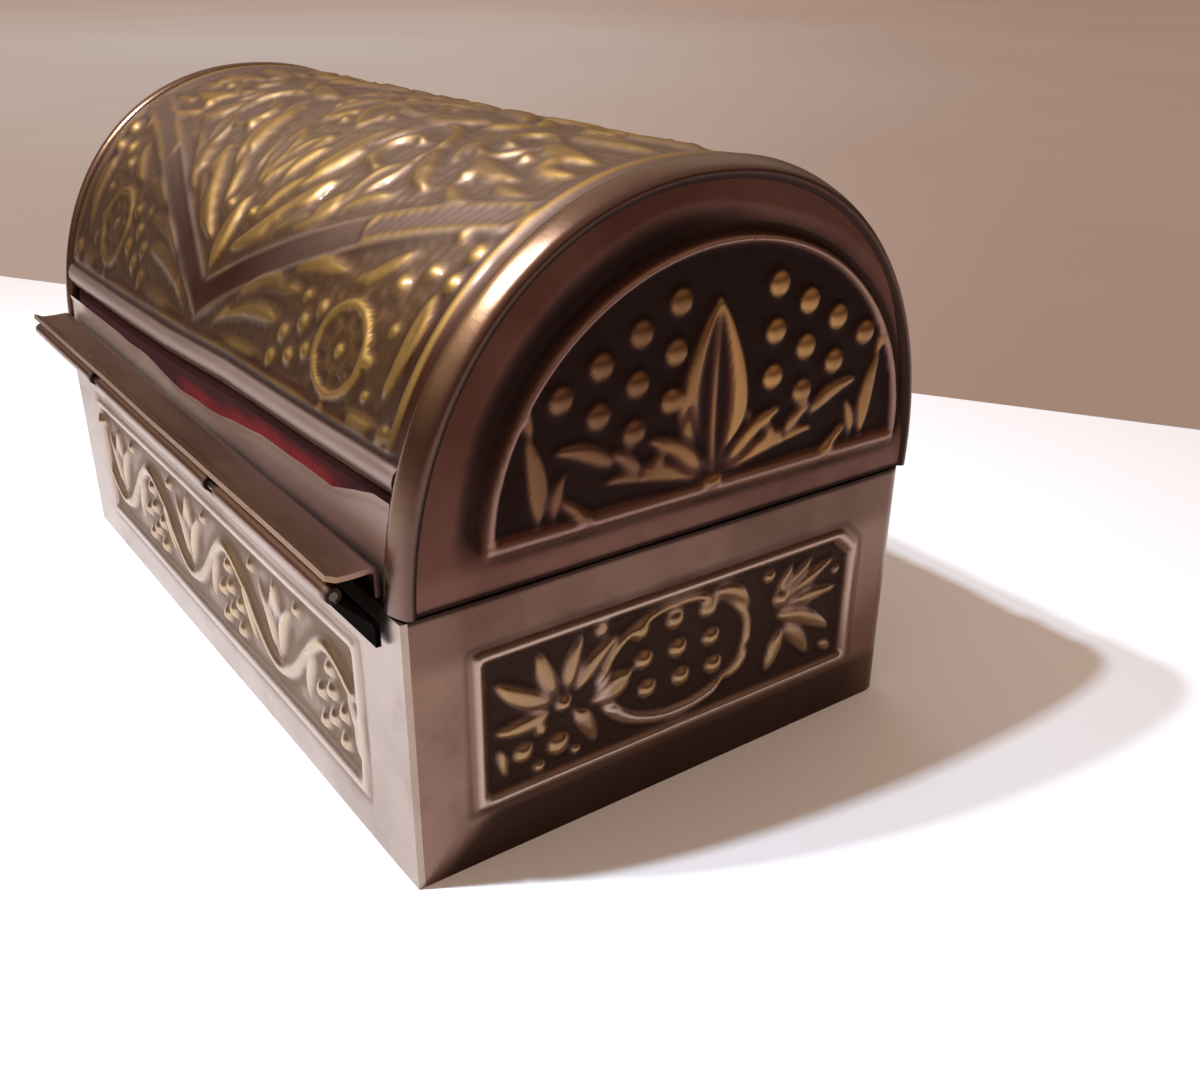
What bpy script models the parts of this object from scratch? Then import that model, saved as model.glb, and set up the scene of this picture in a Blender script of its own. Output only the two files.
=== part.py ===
"""A small embossed jewelry box with a domed lid, made of sheet metal and lined with velvet.

The base is a shell bent round the front and both ends, closed by a flat back panel. The lid is a
domed sheet over two plain bands, closed by half-round gables that sit inside rim mouldings. A
hinge of three tubes on one wire stands off the back on two bent strips, so that the lid can fold
right back. X runs along the box, +Y is the hinge side and +Z is up. The origin is the centre of
the underside. Sizes are in metres.
"""

import math

import bmesh
import bpy
from mathutils import Vector

# Base
BASE_LENGTH = 0.0980
BASE_WIDTH = 0.0600
BASE_HEIGHT = 0.0275
BASE_SHEET = 0.0007
FRONT_CORNER_RADIUS = 0.0025
FLOOR_SHEET = 0.0008

# Lid
LID_SEAM = 0.0003
LID_SIDE_OVERHANG = 0.0002
LID_END_OVERHANG = 0.0004
LID_END_LEAN = 0.050
LID_RISE = 0.0340
ARCH_POWER = 2.13
DOME_SHEET = 0.0006
DOME_INSET = 0.0005
DOME_EDGE_HEIGHT = 0.0094
DOME_EDGE_GAP = 0.0028
RIM_WIDTH = 0.0032
RIM_DEPTH = 0.0016
RIM_ROUNDING = 0.0007
GABLE_SHEET = 0.0007
GABLE_RECESS = 0.00035

# Hinge
HINGE_REACH = 0.0041
HINGE_LIFT = 0.0026
KNUCKLE_RADIUS = 0.0008
KNUCKLE_BORE = 0.00048
KNUCKLE_GAP = 0.0008
MIDDLE_KNUCKLE_LENGTH = 0.0362
PIN_RADIUS = 0.0004
STRIP_SHEET = 0.0005
LID_STRIP_DROP = 0.0027
LID_STRIP_LIP = 0.0006
LID_STRIP_UPTURN = 0.0003
BASE_STRIP_DROP = 0.0022
BASE_STRIP_BEND_DROP = 0.0006

# Lining
LINING_CARD = 0.0010
LINING_TOP_DROP = 0.0005
PAD_THICKNESS = 0.0022
PAD_CROWN = 0.0007
PAD_PULL = 0.0008

# Gap between a piece and what it is seated on
SEAT = 0.0003

# Raised work
RELIEF_ROOT = 0.00025
ROOT_STEP = 0.09
ROOT_CYCLE = 7
BEAD_RADIUS = 0.00105
BEAD_HEIGHT = 0.00055
BEAD_TOP_SHARE = 0.5
LEAF_HEIGHT = 0.00055
LEAF_SHAPE = ((0.0, 0.30, 0.3), (0.3, 0.95, 0.9), (0.6, 0.85, 0.9), (1.0, 0.08, 0.1))
LINE_WIDTH = 0.0008
LINE_HEIGHT = 0.00035
LEAF_HALF_WIDTH = 0.0011
BEAD_PITCH = 0.0034

# Layout of the raised work
LUNETTE_INSET = 0.0063
LUNETTE_SILL = 0.0038
LUNETTE_LEAF_HALF_WIDTH = 0.0024
END_FRAME_SIDE = 0.0065
END_FRAME_FOOT = 0.0058
END_FRAME_HEAD = 0.0055
CARTOUCHE_HALF_WIDTH = 0.0082
LONG_FRAME_SIDE = 0.0090
DOME_BORDER = 0.0012
BAND_CUSP_REACH = 0.0345
BAND_END_REACH = 0.0150
BAND_SWEEP = 1.3
BAND_HALF_WIDTH = 0.0018
ROSETTE_IN = 0.0132
ROSETTE_REACH = 0.0323
ROSETTE_RADIUS = 0.0042
CROWN_RING_RADIUS = 0.0030
CROWN_FLOWER_RADIUS = 0.0105
CROWN_PETALS = 8
CUSP_LEAVES = ((0.0165, 0.0070), (0.0200, 0.0105))
SPRAY_LEAVES = ((0.15, 1.00), (0.62, 0.86), (1.05, 0.80), (1.45, 0.78))
SPRAY_TWIST = 0.22
SPRAY_ALONG = 0.92
SPRAY_OVER = 0.88

# How finely round forms are cut
ARCH_STEPS = 32
RIM_STEPS = 4
CORNER_STEPS = 5
TUBE_STEPS = 20
BEAD_SIDES = 6

LID_BOTTOM = BASE_HEIGHT + LID_SEAM
LID_HALF_WIDTH = BASE_WIDTH / 2 + LID_SIDE_OVERHANG
HINGE_Y = BASE_WIDTH / 2 + HINGE_REACH
HINGE_Z = BASE_HEIGHT + HINGE_LIFT


def clear_scene():
    """Removes every object that the file holds."""
    for found in list(bpy.data.objects):
        bpy.data.objects.remove(found, do_unlink=True)


def finish(name, colour, roughness, metallic):
    """A plain Principled material."""
    material = bpy.data.materials.new(name)
    material.use_nodes = True
    shader = material.node_tree.nodes["Principled BSDF"]
    shader.inputs["Base Color"].default_value = (*colour, 1.0)
    shader.inputs["Roughness"].default_value = roughness
    shader.inputs["Metallic"].default_value = metallic
    material.diffuse_color = (*colour, 1.0)
    return material


def add_loft(mesh, rings, closed=False):
    """Adds a solid through rings of points, capped at its ends unless the rings close up."""
    loops = []
    for ring in rings:
        loops.append([mesh.verts.new(point) for point in ring])
    pairs = list(zip(loops, loops[1:]))
    if closed:
        pairs.append((loops[-1], loops[0]))
    for one, other in pairs:
        for k in range(len(one)):
            after = (k + 1) % len(one)
            mesh.faces.new((one[k], one[after], other[after], other[k]))
    if not closed:
        mesh.faces.new(loops[0])
        mesh.faces.new(loops[-1])


def solid(name, mesh, material, parent=None):
    """Turns a finished mesh into a named object, shaded smooth but for its sharp edges."""
    bmesh.ops.recalc_face_normals(mesh, faces=mesh.faces)
    data = bpy.data.meshes.new(name)
    mesh.to_mesh(data)
    mesh.free()
    data.materials.append(material)
    data.shade_smooth()
    data.set_sharp_from_angle(angle=math.radians(35))
    made = bpy.data.objects.new(name, data)
    bpy.context.scene.collection.objects.link(made)
    if parent:
        made.parent = parent
        made.matrix_parent_inverse = parent.matrix_world.inverted()
    return made


def lofted(name, rings, material, parent=None, closed=False):
    """A named solid through rings of points."""
    mesh = bmesh.new()
    add_loft(mesh, rings, closed)
    return solid(name, mesh, material, parent)


def along_x(name, outline, half_length, material, parent=None):
    """A named solid with an outline of (y, z) points, drawn out along X."""
    rings = []
    for x in (-half_length, half_length):
        rings.append([(x, y, z) for y, z in outline])
    return lofted(name, rings, material, parent)


def board(name, low, high, material, parent=None):
    """A named flat board between two corners."""
    outline = [(low[1], low[2]), (high[1], low[2]), (high[1], high[2]), (low[1], high[2])]
    rings = [[(x, y, z) for y, z in outline] for x in (low[0], high[0])]
    return lofted(name, rings, material, parent)


def tube(name, start, end, radius, bore, material, parent=None):
    """A tube round the hinge line, or a rod where it has no bore."""
    circle = [math.tau * k / TUBE_STEPS for k in range(TUBE_STEPS)]
    if bore == 0:
        outline = [(HINGE_Y + radius * math.cos(a), HINGE_Z + radius * math.sin(a)) for a in circle]
        rings = [[(x, y, z) for y, z in outline] for x in (start, end)]
        return lofted(name, rings, material, parent)
    rings = []
    for a in circle:
        wall = []
        for x, r in ((start, bore), (end, bore), (end, radius), (start, radius)):
            wall.append((x, HINGE_Y + r * math.cos(a), HINGE_Z + r * math.sin(a)))
        rings.append(wall)
    return lofted(name, rings, material, parent, closed=True)


def bent_strip(path, sheet):
    """The closed outline of a bent strip of sheet whose middle line is path."""
    sides = ([], [])
    for k, here in enumerate(path):
        before = path[max(k - 1, 0)]
        after = path[min(k + 1, len(path) - 1)]
        into = Vector(here) - Vector(before)
        out = Vector(after) - Vector(here)
        into = into.normalized() if into.length > 0 else out.normalized()
        out = out.normalized() if out.length > 0 else into
        middle = (into + out).normalized()
        square = Vector((-middle.y, middle.x))
        reach = sheet / 2 / max(middle.dot(into), 0.3)
        sides[0].append(tuple(Vector(here) + square * reach))
        sides[1].append(tuple(Vector(here) - square * reach))
    return sides[0] + sides[1][::-1]


class Arch:
    """The lid's section at an inset from its outer line, read by distance from the crown."""

    SAMPLES = 600

    def __init__(self, inset):
        self.rows = []
        power = 2 / ARCH_POWER
        distance = 0.0
        last = None
        for k in range(self.SAMPLES + 1):
            turn = math.pi / 2 * (1 - k / self.SAMPLES)
            across = max(math.cos(turn), 0.0)
            up = max(math.sin(turn), 0.0)
            normal = Vector((across ** (2 - power) / LID_HALF_WIDTH, up ** (2 - power) / LID_RISE))
            normal.normalize()
            y = LID_HALF_WIDTH * across**power - normal.x * inset
            z = LID_BOTTOM + LID_RISE * up**power - normal.y * inset
            if last:
                distance += math.hypot(y - last[0], z - last[1])
            last = (y, z)
            self.rows.append((distance, y, z, normal.x, normal.y))

    def reach(self):
        """The distance from the crown to the foot of the arch."""
        return self.rows[-1][0]

    def at(self, distance):
        """(y, z, normal y, normal z) at a distance from the crown, positive towards the back."""
        side = -1 if distance < 0 else 1
        wanted = min(abs(distance), self.reach())
        low, high = 0, len(self.rows) - 1
        while high - low > 1:
            middle = (low + high) // 2
            if self.rows[middle][0] <= wanted:
                low = middle
            else:
                high = middle
        one, other = self.rows[low], self.rows[high]
        share = (wanted - one[0]) / (other[0] - one[0])
        y, z, across, up = (a + (b - a) * share for a, b in zip(one[1:], other[1:]))
        return side * y, z, side * across, up

    def distance_at(self, height):
        """The distance from the crown at which the arch comes down to a height."""
        for one, other in zip(self.rows, self.rows[1:]):
            if other[2] <= height:
                share = (one[2] - height) / (one[2] - other[2])
                return one[0] + (other[0] - one[0]) * share
        return self.reach()


def lid_end(height):
    """Half the lid's length at a height: the ends lean outwards."""
    return BASE_LENGTH / 2 + LID_END_OVERHANG + LID_END_LEAN * (height - LID_BOTTOM)


def evenly(start, end, steps):
    """Evenly spaced values from start to end."""
    return [start + (end - start) * k / steps for k in range(steps + 1)]


def arch_sheet(name, inset, sheet, span, set_back, steps, material, parent):
    """A sheet that follows the arch between two distances from the crown, short of each lid end."""
    arch = Arch(inset)
    rings = []
    for distance in evenly(*span, steps):
        y, z, across, up = arch.at(distance)
        inner_y = y - across * sheet
        inner_z = z - up * sheet
        outer_x = lid_end(z) - set_back
        inner_x = lid_end(inner_z) - set_back
        outer = [(-outer_x, y, z), (outer_x, y, z)]
        inner = [(inner_x, inner_y, inner_z), (-inner_x, inner_y, inner_z)]
        rings.append(outer + inner)
    return lofted(name, rings, material, parent)


class Relief:
    """Raised work on a panel, drawn flat as (across, up) and then laid on the panel's surface."""

    def __init__(self, lay):
        self.mesh = bmesh.new()
        self.lay = lay
        self.count = 0

    def root(self):
        """How deep the next shape reaches into the sheet: no two neighbours share a floor."""
        self.count += 1
        return -RELIEF_ROOT * (1 + ROOT_STEP * (self.count % ROOT_CYCLE))

    def add(self, rings, closed=False):
        """Lays one solid, given as rings of (across, up, out) points."""
        add_loft(self.mesh, [[self.lay(*point) for point in ring] for ring in rings], closed)

    def bead(self, across, up, radius=BEAD_RADIUS):
        """A round boss."""
        rings = []
        for share, out in ((1.0, self.root()), (BEAD_TOP_SHARE, BEAD_HEIGHT)):
            ring = []
            for k in range(BEAD_SIDES):
                a = math.tau * k / BEAD_SIDES
                ring.append((across + radius * share * math.cos(a), up + radius * share * math.sin(a), out))
            rings.append(ring)
        self.add(rings)

    def leaf(self, root, tip, half_width=LEAF_HALF_WIDTH):
        """A ridged leaf, widest before its middle and drawn to a point."""
        root = Vector(root)
        tip = Vector(tip)
        side = Vector((root.y - tip.y, tip.x - root.x)).normalized()
        depth = self.root()
        rings = []
        for share, width, height in LEAF_SHAPE:
            at = root.lerp(tip, share)
            one = at + side * half_width * width
            other = at - side * half_width * width
            rings.append([(*one, depth), (*at, LEAF_HEIGHT * height), (*other, depth)])
        self.add(rings)

    def line(self, path, closed=False, width=LINE_WIDTH):
        """A raised line along a path of (across, up) points."""
        count = len(path)
        depth = self.root()
        rings = []
        for k, here in enumerate(path):
            before = path[(k - 1) % count] if closed or k > 0 else here
            after = path[(k + 1) % count] if closed or k < count - 1 else here
            into = Vector(here) - Vector(before)
            out = Vector(after) - Vector(here)
            into = into.normalized() if into.length > 0 else out.normalized()
            out = out.normalized() if out.length > 0 else into
            middle = (into + out).normalized()
            square = Vector((-middle.y, middle.x)) / max(middle.dot(into), 0.5)
            at = Vector(here)
            edge = square * width / 2
            top = square * width / 5
            rings.append(
                [
                    (*(at + edge), depth),
                    (*(at + top), LINE_HEIGHT),
                    (*(at - top), LINE_HEIGHT),
                    (*(at - edge), depth),
                ]
            )
        self.add(rings, closed)

    def ring(self, across, up, radius, steps=12):
        """A raised ring."""
        turns = [math.tau * k / steps for k in range(steps)]
        self.line([(across + radius * math.cos(a), up + radius * math.sin(a)) for a in turns], closed=True)

    def raise_on(self, panel):
        """Joins the raised work to the panel's sheet."""
        bmesh.ops.recalc_face_normals(self.mesh, faces=self.mesh.faces)
        data = bpy.data.meshes.new(panel.name + "_relief")
        self.mesh.to_mesh(data)
        self.mesh.free()
        work = bpy.data.objects.new(panel.name + "_relief", data)
        bpy.context.scene.collection.objects.link(work)
        work.parent = panel.parent
        work.matrix_parent_inverse = panel.matrix_parent_inverse
        work.hide_render = True
        work.display_type = "WIRE"
        union = panel.modifiers.new("relief", "BOOLEAN")
        union.operation = "UNION"
        union.solver = "EXACT"
        union.use_self = True
        union.object = work


def rectangle(half_width, foot, head):
    """The corners of a frame."""
    return [(-half_width, foot), (half_width, foot), (half_width, head), (-half_width, head)]


def draw_lunette(relief):
    """A spear leaf between fields of beads, in an arched frame with leaves in its corners."""
    arch = Arch(LUNETTE_INSET)
    sill = LID_BOTTOM + LUNETTE_SILL
    foot = arch.distance_at(sill)
    frame = [arch.at(s)[:2] for s in evenly(-foot, foot, ARCH_STEPS * 2 // 3)]
    relief.line(frame, closed=True)
    half_width = arch.at(foot)[0]
    height = arch.at(0)[1] - sill
    root = sill + LINE_WIDTH * 1.5
    relief.leaf((0, root), (0, sill + height * 0.78), LUNETTE_LEAF_HALF_WIDTH)
    for side in (-1, 1):
        inner = side * LUNETTE_LEAF_HALF_WIDTH * 0.5
        relief.leaf((inner, root), (side * half_width * 0.52, sill + height * 0.16))
        relief.leaf((inner, root), (side * half_width * 0.33, sill + height * 0.33))
        corner = []
        for turn in evenly(math.radians(8), math.radians(82), 5):
            across = half_width * (0.95 - 0.36 * math.sin(turn))
            up = height * (0.04 + 0.34 * math.cos(turn) ** 2)
            corner.append((side * across, sill + up))
        relief.line(corner)
        relief.leaf((side * half_width * 0.93, root), (side * half_width * 0.84, sill + height * 0.27))
        relief.leaf((side * half_width * 0.90, root), (side * half_width * 0.70, sill + height * 0.13))
        for column in range(4):
            across = LUNETTE_LEAF_HALF_WIDTH + BEAD_PITCH * (1.1 + column)
            for row in range(3):
                up = height * 0.77 - BEAD_PITCH * (0.55 * column + 1.35 * row)
                outside = (across / half_width) ** 2 + (up / height) ** 2
                if outside < 0.80 and up > height * (0.24 + 0.1 * column):
                    relief.bead(side * across, sill + up)


def draw_end_panel(relief):
    """A beaded cartouche between fans of leaves, in a rectangular frame."""
    half_width = BASE_WIDTH / 2 - END_FRAME_SIDE
    foot = END_FRAME_FOOT
    head = BASE_HEIGHT - END_FRAME_HEAD
    middle = (foot + head) / 2
    half_height = (head - foot) / 2
    relief.line(rectangle(half_width, foot, head), closed=True)
    outline = []
    for k in range(16):
        a = math.tau * (k + 0.5) / 16
        across = math.copysign(abs(math.cos(a)) ** 0.8, math.cos(a)) * CARTOUCHE_HALF_WIDTH
        up = math.copysign(abs(math.sin(a)) ** 0.7, math.sin(a)) * (half_height - LINE_WIDTH * 1.6)
        outline.append((across, middle + up))
    relief.line(outline, closed=True)
    for row in (-1, 0, 1):
        for column in (-1, 0, 1):
            shift = BEAD_PITCH * 0.25 * (1 if row == 0 else -1)
            relief.bead(column * BEAD_PITCH * 1.15 + shift, middle + row * BEAD_PITCH)
    for side in (-1, 1):
        root = side * (CARTOUCHE_HALF_WIDTH + LINE_WIDTH * 1.5)
        reach = half_width - LINE_WIDTH * 2 - abs(root)
        for degrees, share in ((58, 0.72), (27, 0.92), (-6, 0.78), (-40, 0.62)):
            a = math.radians(degrees)
            tip = (root + side * reach * share * math.cos(a), middle + reach * share * 0.72 * math.sin(a))
            relief.leaf((root, middle - half_height * 0.1), tip)
        relief.bead(root + side * reach * 0.34, foot + half_height * 0.32)
        relief.bead(root + side * reach * 0.80, foot + half_height * 0.36)


def draw_long_panel(relief):
    """A wavy stem with leaves and beads in its bays, in a rectangular frame."""
    half_width = BASE_LENGTH / 2 - LONG_FRAME_SIDE
    foot = END_FRAME_FOOT
    head = BASE_HEIGHT - END_FRAME_HEAD
    middle = (foot + head) / 2
    half_height = (head - foot) / 2
    relief.line(rectangle(half_width, foot, head), closed=True)
    bays = 6
    bay = half_width * 2 / bays
    swing = half_height * 0.62
    stem = []
    for across in evenly(-half_width + LINE_WIDTH * 2, half_width - LINE_WIDTH * 2, bays * 6):
        stem.append((across, middle + swing * math.sin(math.pi * across / bay)))
    relief.line(stem)
    for k in range(bays):
        centre = -half_width + bay * (k + 0.5)
        up = 1 if k % 2 == (bays // 2) % 2 else -1
        root = (centre, middle - up * half_height * 0.12)
        for degrees in (40, 90, 140):
            a = math.radians(degrees)
            tip = (centre + bay * 0.26 * math.cos(a), middle - up * half_height * (0.12 + 0.58 * math.sin(a)))
            relief.leaf(root, tip)
        for shift in (-0.34, 0.34):
            relief.bead(centre + bay * shift, middle - up * half_height * 0.74)


def dome_band(along, half_length):
    """How far from the crown the dome's plain band lies: it falls to a cusp at mid length."""
    share = 1 - abs(along) / half_length
    return BAND_END_REACH + (BAND_CUSP_REACH - BAND_END_REACH) * share**BAND_SWEEP


def draw_dome(relief, edge):
    """A field of leaves over the crown, framed by plain bands, with a rosette in each corner."""
    half_length = lid_end(LID_BOTTOM + DOME_EDGE_HEIGHT) - RIM_WIDTH - SEAT - DOME_BORDER
    half_span = edge - DOME_BORDER
    border = []
    for over in evenly(-half_span, half_span, ARCH_STEPS // 2):
        border.append((half_length, over))
    for over in evenly(half_span, -half_span, ARCH_STEPS // 2):
        border.append((-half_length, over))
    relief.line(border, closed=True)
    relief.ring(0, 0, CROWN_RING_RADIUS, 10)
    relief.bead(0, 0)
    for k in range(CROWN_PETALS):
        a = math.tau * (k + 0.5) / CROWN_PETALS
        near = CROWN_RING_RADIUS + LINE_WIDTH
        root = (near * math.cos(a), near * math.sin(a))
        tip = (CROWN_FLOWER_RADIUS * math.cos(a), CROWN_FLOWER_RADIUS * math.sin(a))
        relief.leaf(root, tip, LEAF_HALF_WIDTH * 1.5)
    for side in (-1, 1):
        for back in (-1, 1):
            draw_dome_quarter(relief, side, back, half_length)


def draw_dome_quarter(relief, side, back, half_length):
    """One quarter of the dome: its band, its corner's rosette and its share of the leaves."""
    for offset in (-BAND_HALF_WIDTH, BAND_HALF_WIDTH):
        path = []
        for along in evenly(BAND_HALF_WIDTH, half_length - LINE_WIDTH * 2, 9):
            path.append((side * along, back * (dome_band(along, half_length) + offset)))
        relief.line(path)
    centre = (half_length - ROSETTE_IN, ROSETTE_REACH)
    relief.ring(side * centre[0], back * centre[1], ROSETTE_RADIUS)
    relief.bead(side * centre[0], back * centre[1])
    for k in range(6):
        a = math.tau * k / 6
        reach = ROSETTE_RADIUS * 0.56
        along = centre[0] + reach * math.cos(a)
        over = centre[1] + reach * math.sin(a)
        relief.bead(side * along, back * over, BEAD_RADIUS * 0.6)
    for k in range(3):
        along = half_length - LINE_WIDTH * 3
        relief.bead(side * along, back * (BAND_END_REACH + BAND_HALF_WIDTH + BEAD_PITCH * (0.9 + k)))
    for k in range(3):
        along = centre[0] - ROSETTE_RADIUS - BEAD_PITCH * (0.6 + k * 0.8)
        relief.bead(side * along, back * (centre[1] + ROSETTE_RADIUS * 0.25), BEAD_RADIUS * 0.8)
    for start, end in CUSP_LEAVES:
        root = (start, dome_band(start, half_length) + BAND_HALF_WIDTH * 2.3)
        tip = (end, dome_band(end, half_length) + BAND_HALF_WIDTH * 2.0)
        relief.leaf((side * root[0], back * root[1]), (side * tip[0], back * tip[1]))
    inner = CROWN_FLOWER_RADIUS + LINE_WIDTH
    for turn, share in SPRAY_LEAVES:
        root = (inner * math.cos(turn), inner * math.sin(turn))
        reach = (BAND_CUSP_REACH - BAND_HALF_WIDTH) * share
        end = turn + SPRAY_TWIST
        tip = (reach * math.cos(end) * SPRAY_ALONG, reach * math.sin(end) * SPRAY_OVER)
        relief.leaf((side * root[0], back * root[1]), (side * tip[0], back * tip[1]), LEAF_HALF_WIDTH * 1.4)
    for k in range(3):
        along = half_length - BEAD_PITCH * (2.6 + k * 1.05)
        relief.bead(side * along, back * (dome_band(along, half_length) - BAND_HALF_WIDTH * 2.6))


def build_base(metal, velvet):
    """The base's sheets and its lining."""
    half_length = BASE_LENGTH / 2
    half_width = BASE_WIDTH / 2
    panel_face = half_width - BASE_SHEET
    shell_end = panel_face - SEAT
    path = [(-half_length, shell_end, -1, 0)]
    for side in (-1, 1):
        for turn in evenly(0, math.pi / 2, CORNER_STEPS):
            a = turn if side < 0 else math.pi / 2 - turn
            centre = (side * (half_length - FRONT_CORNER_RADIUS), -half_width + FRONT_CORNER_RADIUS)
            across = side * math.cos(a)
            out = -math.sin(a)
            x = centre[0] + across * FRONT_CORNER_RADIUS
            y = centre[1] + out * FRONT_CORNER_RADIUS
            path.append((x, y, across, out))
    path.append((half_length, shell_end, 1, 0))
    rings = []
    for x, y, across, out in path:
        inner = (x - across * BASE_SHEET, y - out * BASE_SHEET)
        rings.append([(x, y, 0), (x, y, BASE_HEIGHT), (*inner, BASE_HEIGHT), (*inner, 0)])
    shell = lofted("base_front_shell", rings, metal)
    for side in (-1, 1):
        ends = Relief(lambda u, v, w, side=side: (side * (half_length + w), side * u, v))
        draw_end_panel(ends)
        if side < 0:
            near_work = ends
        else:
            far_work = ends
    front_work = Relief(lambda u, v, w: (u, -half_width - w, v))
    draw_long_panel(front_work)
    for work in (near_work, far_work, front_work):
        work.raise_on(shell)
    back = board(
        "base_back_wall", (-half_length, panel_face, 0), (half_length, half_width, BASE_HEIGHT), metal
    )
    back_work = Relief(lambda u, v, w: (-u, half_width + w, v))
    draw_long_panel(back_work)
    back_work.raise_on(back)

    floor_x = half_length - BASE_SHEET - SEAT
    floor_y = half_width - BASE_SHEET - SEAT
    corner = FRONT_CORNER_RADIUS - BASE_SHEET - SEAT
    outline = [(floor_x, floor_y), (-floor_x, floor_y)]
    for turn in evenly(0, math.pi / 2, CORNER_STEPS):
        x = -floor_x + corner * (1 - math.cos(turn))
        outline.append((x, -floor_y + corner * (1 - math.sin(turn))))
    for turn in evenly(math.pi / 2, 0, CORNER_STEPS):
        x = floor_x - corner * (1 - math.cos(turn))
        outline.append((x, -floor_y + corner * (1 - math.sin(turn))))
    rings = [[(x, y, z) for x, y in outline] for z in (0, FLOOR_SHEET)]
    lofted("base_floor", rings, metal)

    foot = FLOOR_SHEET + SEAT
    head = BASE_HEIGHT - LINING_TOP_DROP
    long_half = half_length - FRONT_CORNER_RADIUS
    for name, side in (("base_lining_front", -1), ("base_lining_back", 1)):
        faces = sorted((side * floor_y, side * (floor_y - LINING_CARD)))
        board(name, (-long_half, faces[0], foot), (long_half, faces[1], head), velvet)
    for name, side in (("base_lining_near", -1), ("base_lining_far", 1)):
        faces = sorted((side * floor_x, side * (floor_x - LINING_CARD)))
        end = half_width - FRONT_CORNER_RADIUS
        board(name, (faces[0], -end, foot), (faces[1], end, head), velvet)
    build_pad(floor_x - LINING_CARD - SEAT, floor_y - LINING_CARD - SEAT, foot, velvet)


def build_pad(half_length, half_width, foot, velvet):
    """The floor pad: flat underneath, drawn in at its sides and crowned on top."""
    columns, rows = 12, 10

    def place(i, j, level):
        across = 2 * i / columns - 1
        along = 2 * j / rows - 1
        crown = (1 - across**4) * (1 - along**4)
        pull = PAD_PULL * (1 - level) if level < 1 else PAD_PULL * 0.6
        x = across * (half_length - pull * (1 - along**2))
        y = along * (half_width - pull * (1 - across**2))
        return (x, y, foot + (PAD_THICKNESS - PAD_CROWN) * level + PAD_CROWN * crown * (level > 0))

    mesh = bmesh.new()
    layers = []
    for level in (0, 1):
        grid = []
        for i in range(columns + 1):
            grid.append([mesh.verts.new(place(i, j, level)) for j in range(rows + 1)])
        layers.append(grid)
    for grid in layers:
        for i in range(columns):
            for j in range(rows):
                mesh.faces.new((grid[i][j], grid[i + 1][j], grid[i + 1][j + 1], grid[i][j + 1]))
    rim = [(i, 0) for i in range(columns)]
    rim += [(columns, j) for j in range(rows)]
    rim += [(i, rows) for i in range(columns, 0, -1)]
    rim += [(0, j) for j in range(rows, 0, -1)]
    for here, after in zip(rim, rim[1:] + rim[:1]):
        low, high = layers
        mesh.faces.new(
            (low[here[0]][here[1]], low[after[0]][after[1]], high[after[0]][after[1]], high[here[0]][here[1]])
        )
    solid("base_floor_pad", mesh, velvet)


def build_lid(metal, velvet, axis):
    """The lid's sheets, mouldings and lining."""
    set_back = RIM_WIDTH + SEAT
    outer = Arch(DOME_INSET)
    edge = outer.distance_at(LID_BOTTOM + DOME_EDGE_HEIGHT)
    dome = arch_sheet("lid_dome", DOME_INSET, DOME_SHEET, (-edge, edge), set_back, ARCH_STEPS, metal, axis)

    def on_dome(u, v, w):
        y, z, across, up = outer.at(v)
        return (u, y + across * w, z + up * w)

    dome_work = Relief(on_dome)
    draw_dome(dome_work, edge)
    dome_work.raise_on(dome)

    top = outer.distance_at(LID_BOTTOM + DOME_EDGE_HEIGHT - DOME_EDGE_GAP)
    for name, side in (("lid_band_back", 1), ("lid_band_front", -1)):
        span = (side * top, side * outer.reach())
        arch_sheet(name, DOME_INSET, DOME_SHEET, span, set_back, 4, metal, axis)

    for name, side in (("near", -1), ("far", 1)):
        build_gable(name, side, metal, velvet, axis)

    under = DOME_INSET + DOME_SHEET + SEAT
    lining = Arch(under)
    reach = lining.distance_at(LID_BOTTOM + LINING_TOP_DROP)
    span = (-reach, reach)
    arch_sheet("lid_lining_arch", under, LINING_CARD, span, set_back, ARCH_STEPS, velvet, axis)


def build_gable(name, side, metal, velvet, axis):
    """One end of the lid: its rim moulding, its half-round plate and its lining."""
    arch = Arch(0)
    section = [(0, RIM_DEPTH)]
    for turn in evenly(0, math.pi, RIM_STEPS):
        section.append((RIM_WIDTH / 2 * (1 - math.cos(turn)), RIM_ROUNDING * (1 - math.sin(turn))))
    section.append((RIM_WIDTH, RIM_DEPTH))
    rings = []
    for distance in evenly(-arch.reach(), arch.reach(), ARCH_STEPS + 4):
        y, z, across, up = arch.at(distance)
        ring = []
        for depth, inset in section:
            height = z - up * inset
            ring.append((side * (lid_end(height) - depth), y - across * inset, height))
        rings.append(ring)
    lofted("lid_rim_" + name, rings, metal, axis)

    inside = Arch(RIM_DEPTH + SEAT)
    outline = [inside.at(s)[:2] for s in evenly(-inside.reach(), inside.reach(), ARCH_STEPS)]
    rings = []
    for depth in (GABLE_RECESS, GABLE_RECESS + GABLE_SHEET):
        rings.append([(side * (lid_end(z) - depth), y, z) for y, z in outline])
    plate = lofted("lid_gable_" + name, rings, metal, axis)
    work = Relief(lambda u, v, w: (side * (lid_end(v) - GABLE_RECESS + w), side * u, v))
    draw_lunette(work)
    work.raise_on(plate)

    foot = LID_BOTTOM + LINING_TOP_DROP
    reach = inside.distance_at(foot)
    outline = [inside.at(s)[:2] for s in evenly(-reach, reach, ARCH_STEPS // 2)]
    rings = []
    behind = GABLE_RECESS + GABLE_SHEET + SEAT
    for depth in (behind, behind + LINING_CARD):
        rings.append([(side * (lid_end(z) - depth), y, z) for y, z in outline])
    lofted("lid_lining_" + name, rings, velvet, axis)


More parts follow.
